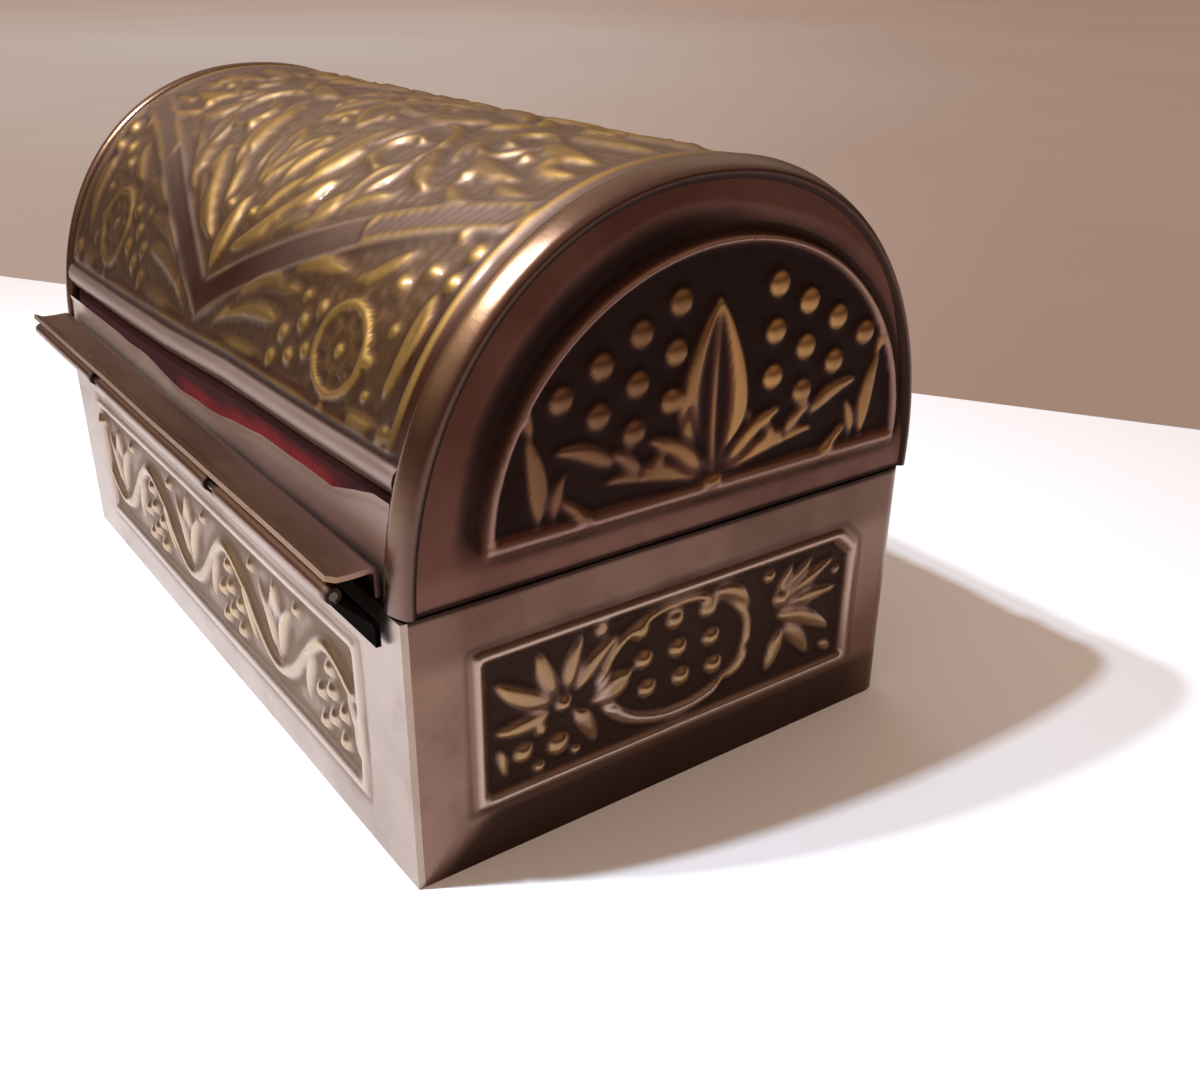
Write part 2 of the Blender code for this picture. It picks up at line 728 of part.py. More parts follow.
def build_hinge(metal, wire, axis):
    """The strips on the back, the tubes that they carry and the wire through the tubes."""
    half_length = lid_end(LID_BOTTOM) - RIM_WIDTH - SEAT
    band_face = Arch(DOME_INSET).at(Arch(DOME_INSET).distance_at(HINGE_Z))[0]
    flange_y = LID_HALF_WIDTH - DOME_INSET + SEAT + STRIP_SHEET / 2
    top_z = HINGE_Z + KNUCKLE_RADIUS + SEAT + STRIP_SHEET / 2
    bend = STRIP_SHEET
    lip_y = HINGE_Y + LID_STRIP_LIP
    path = [(flange_y, top_z - LID_STRIP_DROP), (flange_y, top_z - bend), (flange_y + bend, top_z)]
    path += [(lip_y - bend * 2, top_z), (lip_y, top_z + LID_STRIP_UPTURN)]
    outline = bent_strip(path, STRIP_SHEET)
    along_x("hinge_lid_strip", outline, half_length, metal, axis)

    wall_y = BASE_WIDTH / 2 + SEAT + STRIP_SHEET / 2
    bend_z = BASE_HEIGHT - BASE_STRIP_BEND_DROP
    to_axis = Vector((HINGE_Y - wall_y, HINGE_Z - bend_z))
    end = Vector((HINGE_Y, HINGE_Z)) - to_axis.normalized() * (KNUCKLE_RADIUS + SEAT)
    path = [(wall_y, bend_z - BASE_STRIP_DROP), (wall_y, bend_z), tuple(end)]
    along_x("hinge_base_strip", bent_strip(path, STRIP_SHEET), half_length, metal)

    middle = MIDDLE_KNUCKLE_LENGTH / 2
    start = middle + KNUCKLE_GAP
    tube("hinge_knuckle_near", -half_length, -start, KNUCKLE_RADIUS, KNUCKLE_BORE, metal, axis)
    tube("hinge_knuckle_middle", -middle, middle, KNUCKLE_RADIUS, KNUCKLE_BORE, metal)
    tube("hinge_knuckle_far", start, half_length, KNUCKLE_RADIUS, KNUCKLE_BORE, metal, axis)
    tube("hinge_pin", -half_length, half_length, PIN_RADIUS, 0, wire)


def main():
    """Builds the whole box."""
    clear_scene()
    metal = finish("aged_silver_plate", (0.42, 0.36, 0.30), 0.34, 0.9)
    wire = finish("steel_wire", (0.50, 0.48, 0.45), 0.40, 1.0)
    velvet = finish("red_velvet", (0.30, 0.015, 0.02), 0.95, 0.0)
    axis = bpy.data.objects.new("lid_axis", None)
    axis.location = (0, HINGE_Y, HINGE_Z)
    bpy.context.scene.collection.objects.link(axis)
    bpy.context.view_layer.update()
    build_base(metal, velvet)
    build_lid(metal, velvet, axis)
    build_hinge(metal, wire, axis)


main()
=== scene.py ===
"""The dressed model of a small embossed jewelry box with a domed lid and a red velvet lining.

Each sheet is a fine mesh whose raised and sunken work is drawn as heights in millimetres. The
drawing leaves marks from 0 to 1 on the mesh, which the finishes read: the metal reads how rubbed
a place is and where a highlight is painted, how deep it lies and where shade is painted, how pale
it is from rubbing and from a painted highlight, and where it is darkened further, mostly as
painted shade; the velvet and the studio's floor read where shade is painted on them.
"""

import logging
import math
from dataclasses import dataclass
from enum import Enum
from typing import Any, Iterator, Sequence

import bpy
import numpy as np
from mathutils import Matrix, Vector


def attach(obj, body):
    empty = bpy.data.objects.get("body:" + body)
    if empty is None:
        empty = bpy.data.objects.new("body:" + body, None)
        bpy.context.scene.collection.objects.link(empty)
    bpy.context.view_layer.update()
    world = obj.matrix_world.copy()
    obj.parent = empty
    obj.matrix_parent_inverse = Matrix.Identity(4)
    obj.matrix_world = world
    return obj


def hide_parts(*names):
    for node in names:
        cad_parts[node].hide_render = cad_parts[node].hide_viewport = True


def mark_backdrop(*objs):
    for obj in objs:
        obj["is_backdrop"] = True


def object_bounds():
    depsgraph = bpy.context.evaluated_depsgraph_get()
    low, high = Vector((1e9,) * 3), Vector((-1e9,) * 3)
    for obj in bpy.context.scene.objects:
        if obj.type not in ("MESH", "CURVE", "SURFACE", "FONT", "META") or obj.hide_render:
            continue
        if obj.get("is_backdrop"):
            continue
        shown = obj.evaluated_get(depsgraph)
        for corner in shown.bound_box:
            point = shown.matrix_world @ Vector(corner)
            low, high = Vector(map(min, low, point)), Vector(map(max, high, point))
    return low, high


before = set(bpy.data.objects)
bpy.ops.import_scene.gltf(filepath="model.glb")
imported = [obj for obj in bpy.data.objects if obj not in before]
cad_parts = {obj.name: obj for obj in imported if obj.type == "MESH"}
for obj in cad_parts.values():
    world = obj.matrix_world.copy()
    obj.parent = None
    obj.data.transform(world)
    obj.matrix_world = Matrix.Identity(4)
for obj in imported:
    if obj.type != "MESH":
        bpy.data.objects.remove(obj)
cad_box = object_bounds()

log = logging.getLogger("jewelry_box")

Array = np.ndarray
Path = Sequence[Sequence[float]]
Colour = tuple[float, float, float]
Marks = dict[str, Array]

MM = 0.001
TINY = 1e-9
WAVES = 5
MIDDLE = (0.0, 0.0)
SHARP_DEGREES = 50
ARCH_STEPS = 1200
BOW_STEPS = 24
CURL_STEPS = 26
CURL_WOUND_IN = 0.72

# What a sheet's plain back and edges carry as every mark
EDGE_MARK = 0.15

# A leaf: the bare ground that it keeps round itself, where it is widest, how full it is, how wide
# its root is and where that ends, its midrib, and its veins' number, slant and height
LEAF_GAP = 0.45
LEAF_BELLY, LEAF_FULLNESS = 0.72, 0.8
LEAF_ROOT, LEAF_ROOT_END = 0.16, 0.45
RIB_WIDTH = 0.20
VEINS, VEIN_SLANT, VEIN_HEIGHT = 13, 2.2, 0.05


def smooth(low: float, high: float, value: Array) -> Array:
    """Rises smoothly from 0 at low to 1 at high."""
    share = np.clip((value - low) / (high - low), 0.0, 1.0)
    return share * share * (3.0 - 2.0 * share)


def waver(across: Array, up: Array, size: float, seed: int) -> Array:
    """Slow hand-made unevenness from -1 to 1.

    Args:
        across: Places along one way, in millimetres.
        up: Places along the other way, in millimetres.
        size: The length of its longest waves, in millimetres.
        seed: Which unevenness, so that no two sheets share one.

    Returns:
        The unevenness at each place.
    """
    pick = np.random.default_rng(seed)
    total = np.zeros(np.broadcast(across, up).shape)
    for k in range(WAVES):
        turn, phase = pick.uniform(0, math.tau, 2)
        wave = math.tau / (size * (0.45 + 0.2 * k))
        total += np.sin((across * math.cos(turn) + up * math.sin(turn)) * wave + phase)
    return total / WAVES


def arc(centre: Sequence[float], radii: Sequence[float], start: float, end: float, steps: int = 24) -> Array:
    """Points on part of an ellipse, between two angles in degrees."""
    turn = np.radians(np.linspace(start, end, steps + 1))
    return np.stack([centre[0] + radii[0] * np.cos(turn), centre[1] + radii[1] * np.sin(turn)], 1)


def bow(start: Sequence[float], end: Sequence[float], swell: float = 0.0) -> Array:
    """Points on a line from start to end that swells to its left by a share of its length.

    Args:
        start: The first point.
        end: The last point.
        swell: How far it swells, as a share of its length.

    Returns:
        The points.
    """
    a, b = np.asarray(start, float), np.asarray(end, float)
    share = np.linspace(0, 1, BOW_STEPS + 1)[:, None]
    side = np.array([a[1] - b[1], b[0] - a[0]])
    return a + (b - a) * share + side * swell * 4 * share * (1 - share)


def curl(centre: Sequence[float], radius: float, start: float, turns: float) -> Array:
    """Points on a scroll that winds in towards its centre, from an angle in degrees.

    Args:
        centre: Its centre.
        radius: Its radius where it starts.
        start: The angle of its first point.
        turns: How often it winds round, backwards where it is negative.

    Returns:
        The points.
    """
    share = np.linspace(0, 1, CURL_STEPS + 1)
    turn = math.radians(start) + share * turns * math.tau
    reach = radius * (1 - CURL_WOUND_IN * share)
    return np.stack([centre[0] + reach * np.cos(turn), centre[1] + reach * np.sin(turn)], 1)


def ring(centre: Sequence[float], radius: float) -> Array:
    """Points on a whole circle."""
    return arc(centre, (radius, radius), 0, 360)


def on_ring(centre: Sequence[float], radius: float, turn: float) -> tuple[float, float]:
    """The point on a circle at an angle in radians."""
    return centre[0] + radius * math.cos(turn), centre[1] + radius * math.sin(turn)


def closed_path(path: Path, closed: bool = True) -> Array:
    """A path's points, with the first one again at its end where it is closed."""
    points = np.asarray(path, float)
    return np.vstack([points, points[:1]]) if closed else points


class LeafKind(Enum):
    """How a leaf is chased."""

    FULL = "full"
    HOLLOW = "hollow"


class Relief:
    """Raised and sunk work on a panel, over a grid of (across, up) places in millimetres."""

    def __init__(self, across: Array, up: Array) -> None:
        """Starts with a bare panel.

        Args:
            across: The grid's places across.
            up: The grid's places up.
        """
        self.panel_across, self.panel_up = across, up
        self.raised, self.ground, self.pale = (np.zeros(across.shape) for _ in range(3))
        self.across, self.up = across, up

    def measure_from(self, across: float, up: float, flip: int = 1, over: int = 1) -> None:
        """Sets the place, and the side, that the next shapes are measured from."""
        self.across = flip * (self.panel_across - across)
        self.up = over * (self.panel_up - up)

    def quarters(self) -> Iterator[None]:
        """Measures from the middle in each quarter in turn.

        Returns:
            An iterator with one step for each quarter.
        """
        for side in (-1, 1):
            for over in (-1, 1):
                self.measure_from(*MIDDLE, side, over)
                yield

    def _near(self, path: Array, reach: float) -> tuple[tuple, Array, Array, Array]:
        """The grid's places near a path.

        Args:
            path: The path's points.
            reach: How far from the path still counts.

        Returns:
            The places' indices, their distance, the side they lie on and how far along they lie.
        """
        low, high = path.min(0) - reach, path.max(0) + reach
        beside = (self.across > low[0]) & (self.across < high[0])
        where = np.nonzero(beside & (self.up > low[1]) & (self.up < high[1]))
        place = np.stack([self.across[where], self.up[where]], 1)
        best = np.full(len(place), np.inf)
        run, side = np.zeros(len(place)), np.zeros(len(place))
        gone = 0.0
        for a, b in zip(path, path[1:]):
            step = b - a
            length = math.hypot(*step)
            if length < TINY:
                continue
            share = np.clip(((place - a) @ step) / length**2, 0, 1)
            off = place - a - share[:, None] * step
            far = (off**2).sum(1)
            closer = far < best
            best[closer] = far[closer]
            run[closer] = gone + share[closer] * length
            side[closer] = np.sign(step[0] * off[closer, 1] - step[1] * off[closer, 0])
            gone += length
        far = np.sqrt(best)
        keep = far < reach
        return tuple(w[keep] for w in where), far[keep], side[keep], run[keep] / max(gone, TINY)

    def _lift(self, where: tuple, height: Array) -> None:
        """Raises places to a height, where they aren't higher already."""
        self.raised[where] = np.maximum(self.raised[where], height)

    def bead(self, across: float, up: float, radius: float, height: float) -> None:
        """A round boss.

        Args:
            across: Where its middle is, across.
            up: Where its middle is, up.
            radius: Its radius.
            height: How far it stands out.
        """
        far = ((self.across - across) ** 2 + (self.up - up) ** 2) / radius**2
        where = np.nonzero(far < 1)
        self._lift(where, height * np.sqrt(1 - far[where]))

    def beads(self, rows: Path, *shared: float) -> None:
        """Beads in order.

        Args:
            rows: The across and up of each one, then as much of its radius and height as differs.
            shared: The rest of these, which is the same for all.
        """
        for row in rows:
            self.bead(*row, *shared)

    def stroke(self, path: Path, width: float, height: float, closed: bool = False, pale: float = 0.0) -> None:
        """A half-round raised line, which may be rubbed to bare pale silver.

        Args:
            path: Its middle line.
            width: Its width.
            height: How far it stands out.
            closed: Whether it ends where it starts.
            pale: How far it is rubbed.
        """
        where, far, _, _ = self._near(closed_path(path, closed), width / 2)
        swell = np.sqrt(1 - (far / (width / 2)) ** 2)
        self._lift(where, height * swell)
        self.pale[where] = np.maximum(self.pale[where], pale * swell)

    def groove(self, path: Path, width: float, depth: float, closed: bool = False) -> None:
        """A round-bottomed chased line."""
        where, far, _, _ = self._near(closed_path(path, closed), width / 2)
        self.raised[where] -= depth * np.sqrt(1 - (far / (width / 2)) ** 2)

    def rope(self, path: Path, width: float, height: float, pitch: float) -> None:
        """A band of slanting strokes between two lines.

        Args:
            path: Its middle line.
            width: Its width.
            height: How high the lines stand.
            pitch: The length of one stroke and its gap.
        """
        points = np.asarray(path, float)
        length = np.hypot(*np.diff(points, axis=0).T).sum()
        where, far, side, share = self._near(points, width / 2)
        slant = np.sin((share * length + far * side * 0.9) * math.tau / pitch)
        edge = far / (width / 2)
        line_at, line_width, stroke_height = 0.86, 0.12, 0.75
        lines = np.exp(-(((edge - line_at) / line_width) ** 2))
        strokes = smooth(-0.3, 0.8, slant) * smooth(0.78, 0.62, edge) * stroke_height
        self._lift(where, height * np.maximum(lines, strokes))

    def leaf(self, path: Path, width: float, height: float, kind: LeafKind = LeafKind.FULL) -> None:
        """A leaf along a path, pointed at its end.

        Args:
            path: Its midrib, from its root to its tip.
            width: Its greatest width.
            height: How far it stands out of its ground.
            kind: Whether it is domed and veined, or an outline with a midrib.
        """
        where, far, _, share = self._near(np.asarray(path, float), width / 2 + LEAF_GAP)
        belly = np.sin(math.pi * np.clip(share, 0.0, 1.0) ** LEAF_BELLY) ** LEAF_FULLNESS
        half = width / 2 * np.maximum(belly, 0.02)
        half = np.where(share < LEAF_ROOT_END, np.maximum(half, width * LEAF_ROOT), half)
        self.raised[where] *= smooth(0.0, LEAF_GAP, far - half)
        edge = far / half
        inside = edge < 1
        where = tuple(w[inside] for w in where)
        edge, far, share = edge[inside], far[inside], share[inside]
        rib = np.exp(-((far / RIB_WIDTH) ** 2))
        if kind is LeafKind.HOLLOW:
            shape = (0.22 + 0.78 * smooth(0.3, 0.72, edge)) * np.sqrt(1 - edge**6) + rib * 0.55
        else:
            veins = np.sin((share * VEINS - edge * VEIN_SLANT) * math.pi) * VEIN_HEIGHT
            veins *= smooth(0.1, 0.4, edge) * smooth(0.9, 0.6, edge)
            shape = (1 - edge**2) ** 0.55 * (0.95 + veins) - rib * 0.30
        self._lift(where, height * shape)

    def leaves(self, rows: Path, *shared: float, kind: LeafKind = LeafKind.FULL) -> None:
        """Leaves in order, each of which cuts into what it crosses.

        Args:
            rows: The across and up of each one's root and of its tip, then as much of its swell,
                width and height as differs.
            shared: The rest of these, which is the same for all.
            kind: How they are chased.
        """
        for row in rows:
            *ends, swell, width, height = (*row, *shared)
            self.leaf(bow(ends[:2], ends[2:], swell), width, height, kind)

    def field(self, path: Path, soft: float = 0.35) -> None:
        """Sinks the ground inside a closed outline, softly at its edge.

        Args:
            path: The outline.
            soft: The width of its soft edge.
        """
        points = closed_path(path)
        inside = np.zeros(self.across.shape, bool)
        for a, b in zip(points, points[1:]):
            if a[1] == b[1]:
                continue
            crosses = (a[1] > self.up) != (b[1] > self.up)
            inside ^= crosses & (self.across < (b[0] - a[0]) * (self.up - a[1]) / (b[1] - a[1]) + a[0])
        deep = inside.astype(float)
        where, far, _, _ = self._near(points, soft)
        deep[where] *= smooth(0, soft, far)
        self.ground = np.maximum(self.ground, deep)

    def matting(self, pitch: float, height: float, seed: int) -> None:
        """Fills the sunk ground with small uneven pearls.

        Args:
            pitch: How far apart the pearls are.
            height: How far they stand out.
            seed: Which unevenness they have.
        """
        drift = waver(self.panel_across, self.panel_up, 8 * pitch, seed) * pitch
        one = np.sin((self.panel_across + self.panel_up * 0.9 + drift) * math.pi / pitch)
        other = np.sin((self.panel_across - self.panel_up * 1.1 - drift) * math.pi / pitch)
        self.raised = np.maximum(self.raised, height * self.ground * np.clip(one * other, 0, 1) ** 0.7)

    def heights(self, depth: float) -> Array:
        """The finished heights, with the ground sunk by a depth and every edge softened."""
        return blurred(self.raised - depth * self.ground, 1)

    def bare_ground(self, raised: Array) -> Array:
        """How bare the sunk ground is at each place, under work raised by so much."""
        return smooth(0.1, 0.6, self.ground) * smooth(0.42, 0.14, raised)

    def marks(self, height: Array, dim: float = 1.0, gilt: float = 0.0) -> Marks:
        """How worn, how sunk and how pale each place is, for the metal's colour.

        Args:
            height: The finished heights.
            dim: How dark the sunk ground is.
            gilt: How golden the sunk ground is.

        Returns:
            The marks, from 0 to 1.
        """
        stands = height - blurred(height, 5)
        raised = blurred(self.raised, 1)
        hollow, crest = (smooth(0.02, 0.16, way * stands) for way in (-1, 1))
        sunk_and_painted_shade = np.maximum(self.bare_ground(raised) * dim, hollow * 0.85)
        worn_and_painted_highlight = crest * smooth(0.0, 0.3, raised) + 0.4 * smooth(0.3, 0.8, raised) + gilt * self.ground
        return {"worn_and_painted_highlight": np.clip(worn_and_painted_highlight, 0, 1) * (1 - self.pale), "sunk_and_painted_shade": sunk_and_painted_shade, "pale": self.pale}


def blurred(values: Array, reach: int) -> Array:
    """Values averaged twice over a square of the grid.

    Args:
        values: The values on the grid.
        reach: How many places on each side are averaged.

    Returns:
        The softened values.
    """
    result = values
    for _ in range(2):
        for axis in (0, 1):
            padding = [(0, 0), (0, 0)]
            padding[axis] = (reach + 1, reach)
            total = np.cumsum(np.pad(result, padding, mode="edge"), axis=axis)
            size = 2 * reach + 1
            ends = np.take(total, range(size, total.shape[axis]), axis=axis)
            starts = np.take(total, range(0, total.shape[axis] - size), axis=axis)
            result = (ends - starts) / size
    return result


@dataclass(frozen=True)
class LidForm:
    """The lid's outer surface: an arch drawn out along X, with ends that lean outwards."""

    half_width: float = 30.2
    rise: float = 34.0
    bottom: float = 27.8
    power: float = 2.13
    half_length: float = 49.4
    lean: float = 0.05

    def rows(self, inset: float) -> Array:
        """(distance from the crown, y, z, normal y, normal z) down one side of the arch.

        Args:
            inset: How far inside the surface the arch lies.

        Returns:
            One row for each of the five.
        """
        turn = np.linspace(math.pi / 2, 0, ARCH_STEPS + 1)
        across, up = np.maximum(np.cos(turn), 0), np.maximum(np.sin(turn), 0)
        share = 2 / self.power
        normal = np.stack([across ** (2 - share) / self.half_width, up ** (2 - share) / self.rise])
        normal /= np.hypot(*normal)
        y = self.half_width * across**share - normal[0] * inset
        z = self.bottom + self.rise * up**share - normal[1] * inset
        distance = np.concatenate([[0], np.cumsum(np.hypot(np.diff(y), np.diff(z)))])
        return np.stack([distance, y, z, *normal])

    def at(self, distance: Array, inset: float) -> tuple[Array, Array, Array, Array]:
        """Where the arch lies at distances from the crown, positive towards the back.

        Args:
            distance: The distances.
            inset: How far inside the surface the arch lies.

        Returns:
            y, z, normal y and normal z.
        """
        rows = self.rows(inset)
        side = np.where(distance < 0, -1.0, 1.0)
        y, z, across, up = (np.interp(np.abs(distance), rows[0], row) for row in rows[1:])
        return side * y, z, side * across, up

    def reach(self, inset: float) -> float:
        """The distance from the crown to the arch's foot."""
        return float(self.rows(inset)[0][-1])

    def distance_at(self, height: float, inset: float) -> float:
        """The distance from the crown at which the arch comes down to a height."""
        rows = self.rows(inset)
        return float(np.interp(-height, -rows[2], rows[0]))

    def half_width_at(self, height: Array, inset: float) -> Array:
        """Half the arch's width at heights."""
        rows = self.rows(inset)
        return np.interp(-height, -rows[2], rows[1])

    def end(self, height: Array) -> Array:
        """Half the lid's length at heights."""
        return self.half_length + self.lean * (height - self.bottom)


LID = LidForm()


def make_piece(name: str, places: Array, faces: list, marks: Marks) -> bpy.types.Object:
    """A mesh object from places in millimetres.

    Args:
        name: The piece's name.
        places: One row of x, y, z for each corner.
        faces: The faces, as lists of row numbers.
        marks: Named values for each corner, which the finishes read.

    Returns:
        The new object, shaded smooth but for its sharp edges.
    """
    mesh = bpy.data.meshes.new(name)
    mesh.from_pydata((places * MM).tolist(), [], faces)
    for key, values in marks.items():
        mark = mesh.attributes.new(key, "FLOAT", "POINT")
        mark.data.foreach_set("value", np.asarray(values, np.float32).ravel())
    mesh.shade_smooth()
    mesh.set_sharp_from_angle(angle=math.radians(SHARP_DEGREES))
    mesh.validate()
    piece = bpy.data.objects.new(name, mesh)
    bpy.context.scene.collection.objects.link(piece)
    return piece


def grid_faces(rows: int, columns: int, start: int = 0, turned: bool = False) -> list:
    """Quads over a grid whose corners are numbered row by row from start.

    Args:
        rows: How many rows it has.
        columns: How many columns it has.
        start: The number of its first corner.
        turned: Whether the quads' order is reversed.

    Returns:
        The quads, as lists of four numbers.
    """
    corner = start + np.arange(rows * columns).reshape(rows, columns)
    quads = np.stack([corner[:-1, :-1], corner[:-1, 1:], corner[1:, 1:], corner[1:, :-1]], -1)
    quads = quads.reshape(-1, 4)
    return (quads[:, ::-1] if turned else quads).tolist()


def sheet_piece(
    name: str, front: Array, back: Array, marks: Marks, turned: bool = False, back_columns: int = 2
) -> bpy.types.Object:
    """A closed sheet with a fine front, a plain back and edges between them.

    Args:
        name: The piece's name.
        front: The front's grid of places, rows by columns.
        back: The back's grid, of which only a few columns are used.
        marks: The front's marks.
        turned: Whether the faces' order is reversed.
        back_columns: How many of the back's columns are used, from one side to the other.

    Returns:
        The new object.
    """
    rows, columns = front.shape[:2]
    start = rows * columns
    corner = np.arange(start).reshape(rows, columns)
    rim = np.concatenate([corner[0, :-1], corner[:-1, -1], corner[-1, :0:-1], corner[:0:-1, 0]])
    outer, inner = start + np.arange(2 * len(rim)).reshape(2, -1)
    edge = np.stack([outer, inner, np.roll(inner, -1), np.roll(outer, -1)], -1)
    faces = grid_faces(rows, columns, 0, turned) + (edge[:, ::-1] if turned else edge).tolist()
    faces += grid_faces(rows, back_columns, start + 2 * len(rim), not turned)
    picked = np.linspace(0, columns - 1, back_columns).astype(int)
    fronts, backs = front.reshape(-1, 3), back.reshape(-1, 3)
    places = np.vstack([fronts, fronts[rim], backs[rim], back[:, picked].reshape(-1, 3)])
    plain = np.full(len(places) - start, EDGE_MARK)
    marks = {key: np.concatenate([value.ravel(), plain]) for key, value in marks.items()}
    piece = make_piece(name, places, faces, marks)
    face_out(piece)
    return piece


def swept_piece(name: str, rings: Array, marks: Marks) -> bpy.types.Object:
    """A closed piece through rings of places.

    Args:
        name: The piece's name.
        rings: The places, rings by points.
        marks: Their marks.

    Returns:
        The new object.
    """
    count, size = rings.shape[:2]
    corner = np.arange(count * size).reshape(count, size)
    after = np.roll(corner, -1, axis=1)
    faces = np.stack([corner[:-1], after[:-1], after[1:], corner[1:]], -1).reshape(-1, 4).tolist()
    faces += [corner[0, ::-1].tolist(), corner[-1].tolist()]
    piece = make_piece(name, rings.reshape(-1, 3), faces, marks)
    face_out(piece)
    return piece


def face_out(piece: bpy.types.Object) -> None:
    """Turns a closed piece's faces outwards.

    Args:
        piece: The piece.
    """
    mesh = piece.data
    mesh.calc_loop_triangles()
    places = np.empty(len(mesh.vertices) * 3, np.float32)
    mesh.vertices.foreach_get("co", places)
    triangles = np.empty(len(mesh.loop_triangles) * 3, np.int32)
    mesh.loop_triangles.foreach_get("vertices", triangles)
    a, b, c = (places.reshape(-1, 3)[triangles[k::3]] for k in range(3))
    if np.einsum("ij,ij->i", a, np.cross(b, c)).sum() < 0:
        mesh.flip_normals()


# Shader maths


class Value:
    """A number that a shader works out at each point, so that maths on it reads as maths."""

    def __init__(self, paint: "Paint", socket: bpy.types.NodeSocket) -> None:
        """Wraps a node's output."""
        self.paint, self.socket = paint, socket

    def _math(self, operation: str, *terms: Any) -> "Value":
        """One Math node on this value and others."""
        node = self.paint.node("ShaderNodeMath", {"operation": operation}, dict(enumerate(terms)))
        return Value(self.paint, node.outputs[0])

    def __add__(self, other: Any) -> "Value":
        """This value plus another."""
        return self._math("ADD", self, other)

    __radd__ = __add__

    def __sub__(self, other: Any) -> "Value":
        """This value less another."""
        return self._math("SUBTRACT", self, other)

    def __rsub__(self, other: Any) -> "Value":
        """Another less this value."""
        return self._math("SUBTRACT", other, self)

    def __mul__(self, other: Any) -> "Value":
        """This value times another."""
        return self._math("MULTIPLY", self, other)

    __rmul__ = __mul__

    def rise(self, low: float, high: float) -> "Value":
        """Rises smoothly from 0 to 1 as this value goes from low to high.

        Args:
            low: The value that becomes 0.
            high: The value that becomes 1.

        Returns:
            The new value.
        """
        node = self.paint.node(
            "ShaderNodeMapRange",
            {"interpolation_type": "SMOOTHSTEP"},
            {"Value": self, "From Min": low, "From Max": high},
        )
        return Value(self.paint, node.outputs["Result"])


class Paint:
    """One material, or the world's surround, in the making."""

    def __init__(self, owner: Any, coordinates: str = "Object") -> None:
        """Starts with no nodes but the coordinates.

        Args:
            owner: The material or the world.
            coordinates: Which coordinates its textures follow.
        """
        self.owner = owner
        self.owner.use_nodes = True
        self.tree = self.owner.node_tree
        self.tree.nodes.clear()
        self.coordinates = self.node("ShaderNodeTexCoord", {}, {}).outputs[coordinates]

    def node(self, kind: str, settings: dict[str, Any], inputs: dict[Any, Any]) -> bpy.types.Node:
        """Adds a node.

        Args:
            kind: The node's type.
            settings: Its own properties, which are set first.
            inputs: Its sockets' values, or what is linked to them.

        Returns:
            The new node.
        """
        node = self.tree.nodes.new(kind)
        for key, value in settings.items():
            setattr(node, key, value)
        for key, value in inputs.items():
            socket = node.inputs[key]
            source = value.socket if isinstance(value, Value) else value
            if isinstance(source, bpy.types.NodeSocket):
                self.tree.links.new(source, socket)
            else:
                socket.default_value = source
        return node

    def mark(self, name: str) -> Value:
        """A mark that the mesh carries."""
        node = self.node("ShaderNodeAttribute", {"attribute_name": name}, {})
        return Value(self, node.outputs["Fac"])

    def noise(self, size: float, detail: float, stretch: Sequence[float] = (1, 1, 1)) -> Value:
        """Cloudy noise from 0 to 1, whose patches are about size metres across.

        Args:
            size: The patches' size.
            detail: How much finer detail they have.
            stretch: How much it is drawn together each way.

        Returns:
            The noise.
        """
        place = self.node("ShaderNodeMapping", {}, {"Vector": self.coordinates, "Scale": stretch})
        node = self.node(
            "ShaderNodeTexNoise", {}, {"Vector": place.outputs[0], "Scale": 1 / size, "Detail": detail}
        )
        return Value(self, node.outputs["Fac"])

    def height(self) -> Value:
        """How high a point stands in its own object, in metres, or a direction's rise."""
        node = self.node("ShaderNodeSeparateXYZ", {}, {0: self.coordinates})
        return Value(self, node.outputs["Z"])

    def mixed(self, factor: Any, one: Any, other: Any) -> bpy.types.NodeSocket:
        """Two colours mixed by a factor.

        Args:
            factor: How much of the second colour there is.
            one: The first colour.
            other: The second colour.

        Returns:
            The mixed colour.
        """
        node = self.node(
            "ShaderNodeMix", {"data_type": "RGBA"}, {"Factor": factor, 6: opaque(one), 7: opaque(other)}
        )
        return node.outputs[2]

    def bumped(self, height: Value, distance: float) -> bpy.types.NodeSocket:
        """A normal that follows a height from 0 to 1, which stands for a distance in metres."""
        node = self.node("ShaderNodeBump", {}, {"Height": height, "Distance": distance, "Strength": 1.0})
        return node.outputs["Normal"]

    def finished(self, inputs: dict[str, Any]) -> bpy.types.Material:
        """Closes the material with its shader.

        Args:
            inputs: The shader's numbers, colours and links.

        Returns:
            The material.
        """
        shader = self.node("ShaderNodeBsdfPrincipled", {}, inputs)
        self.node("ShaderNodeOutputMaterial", {}, {"Surface": shader.outputs[0]})
        return self.owner


def opaque(colour: Any) -> Any:
    """A colour with its fourth number, where it is one and not a link."""
    return (*colour, 1.0) if isinstance(colour, tuple) and len(colour) == 3 else colour


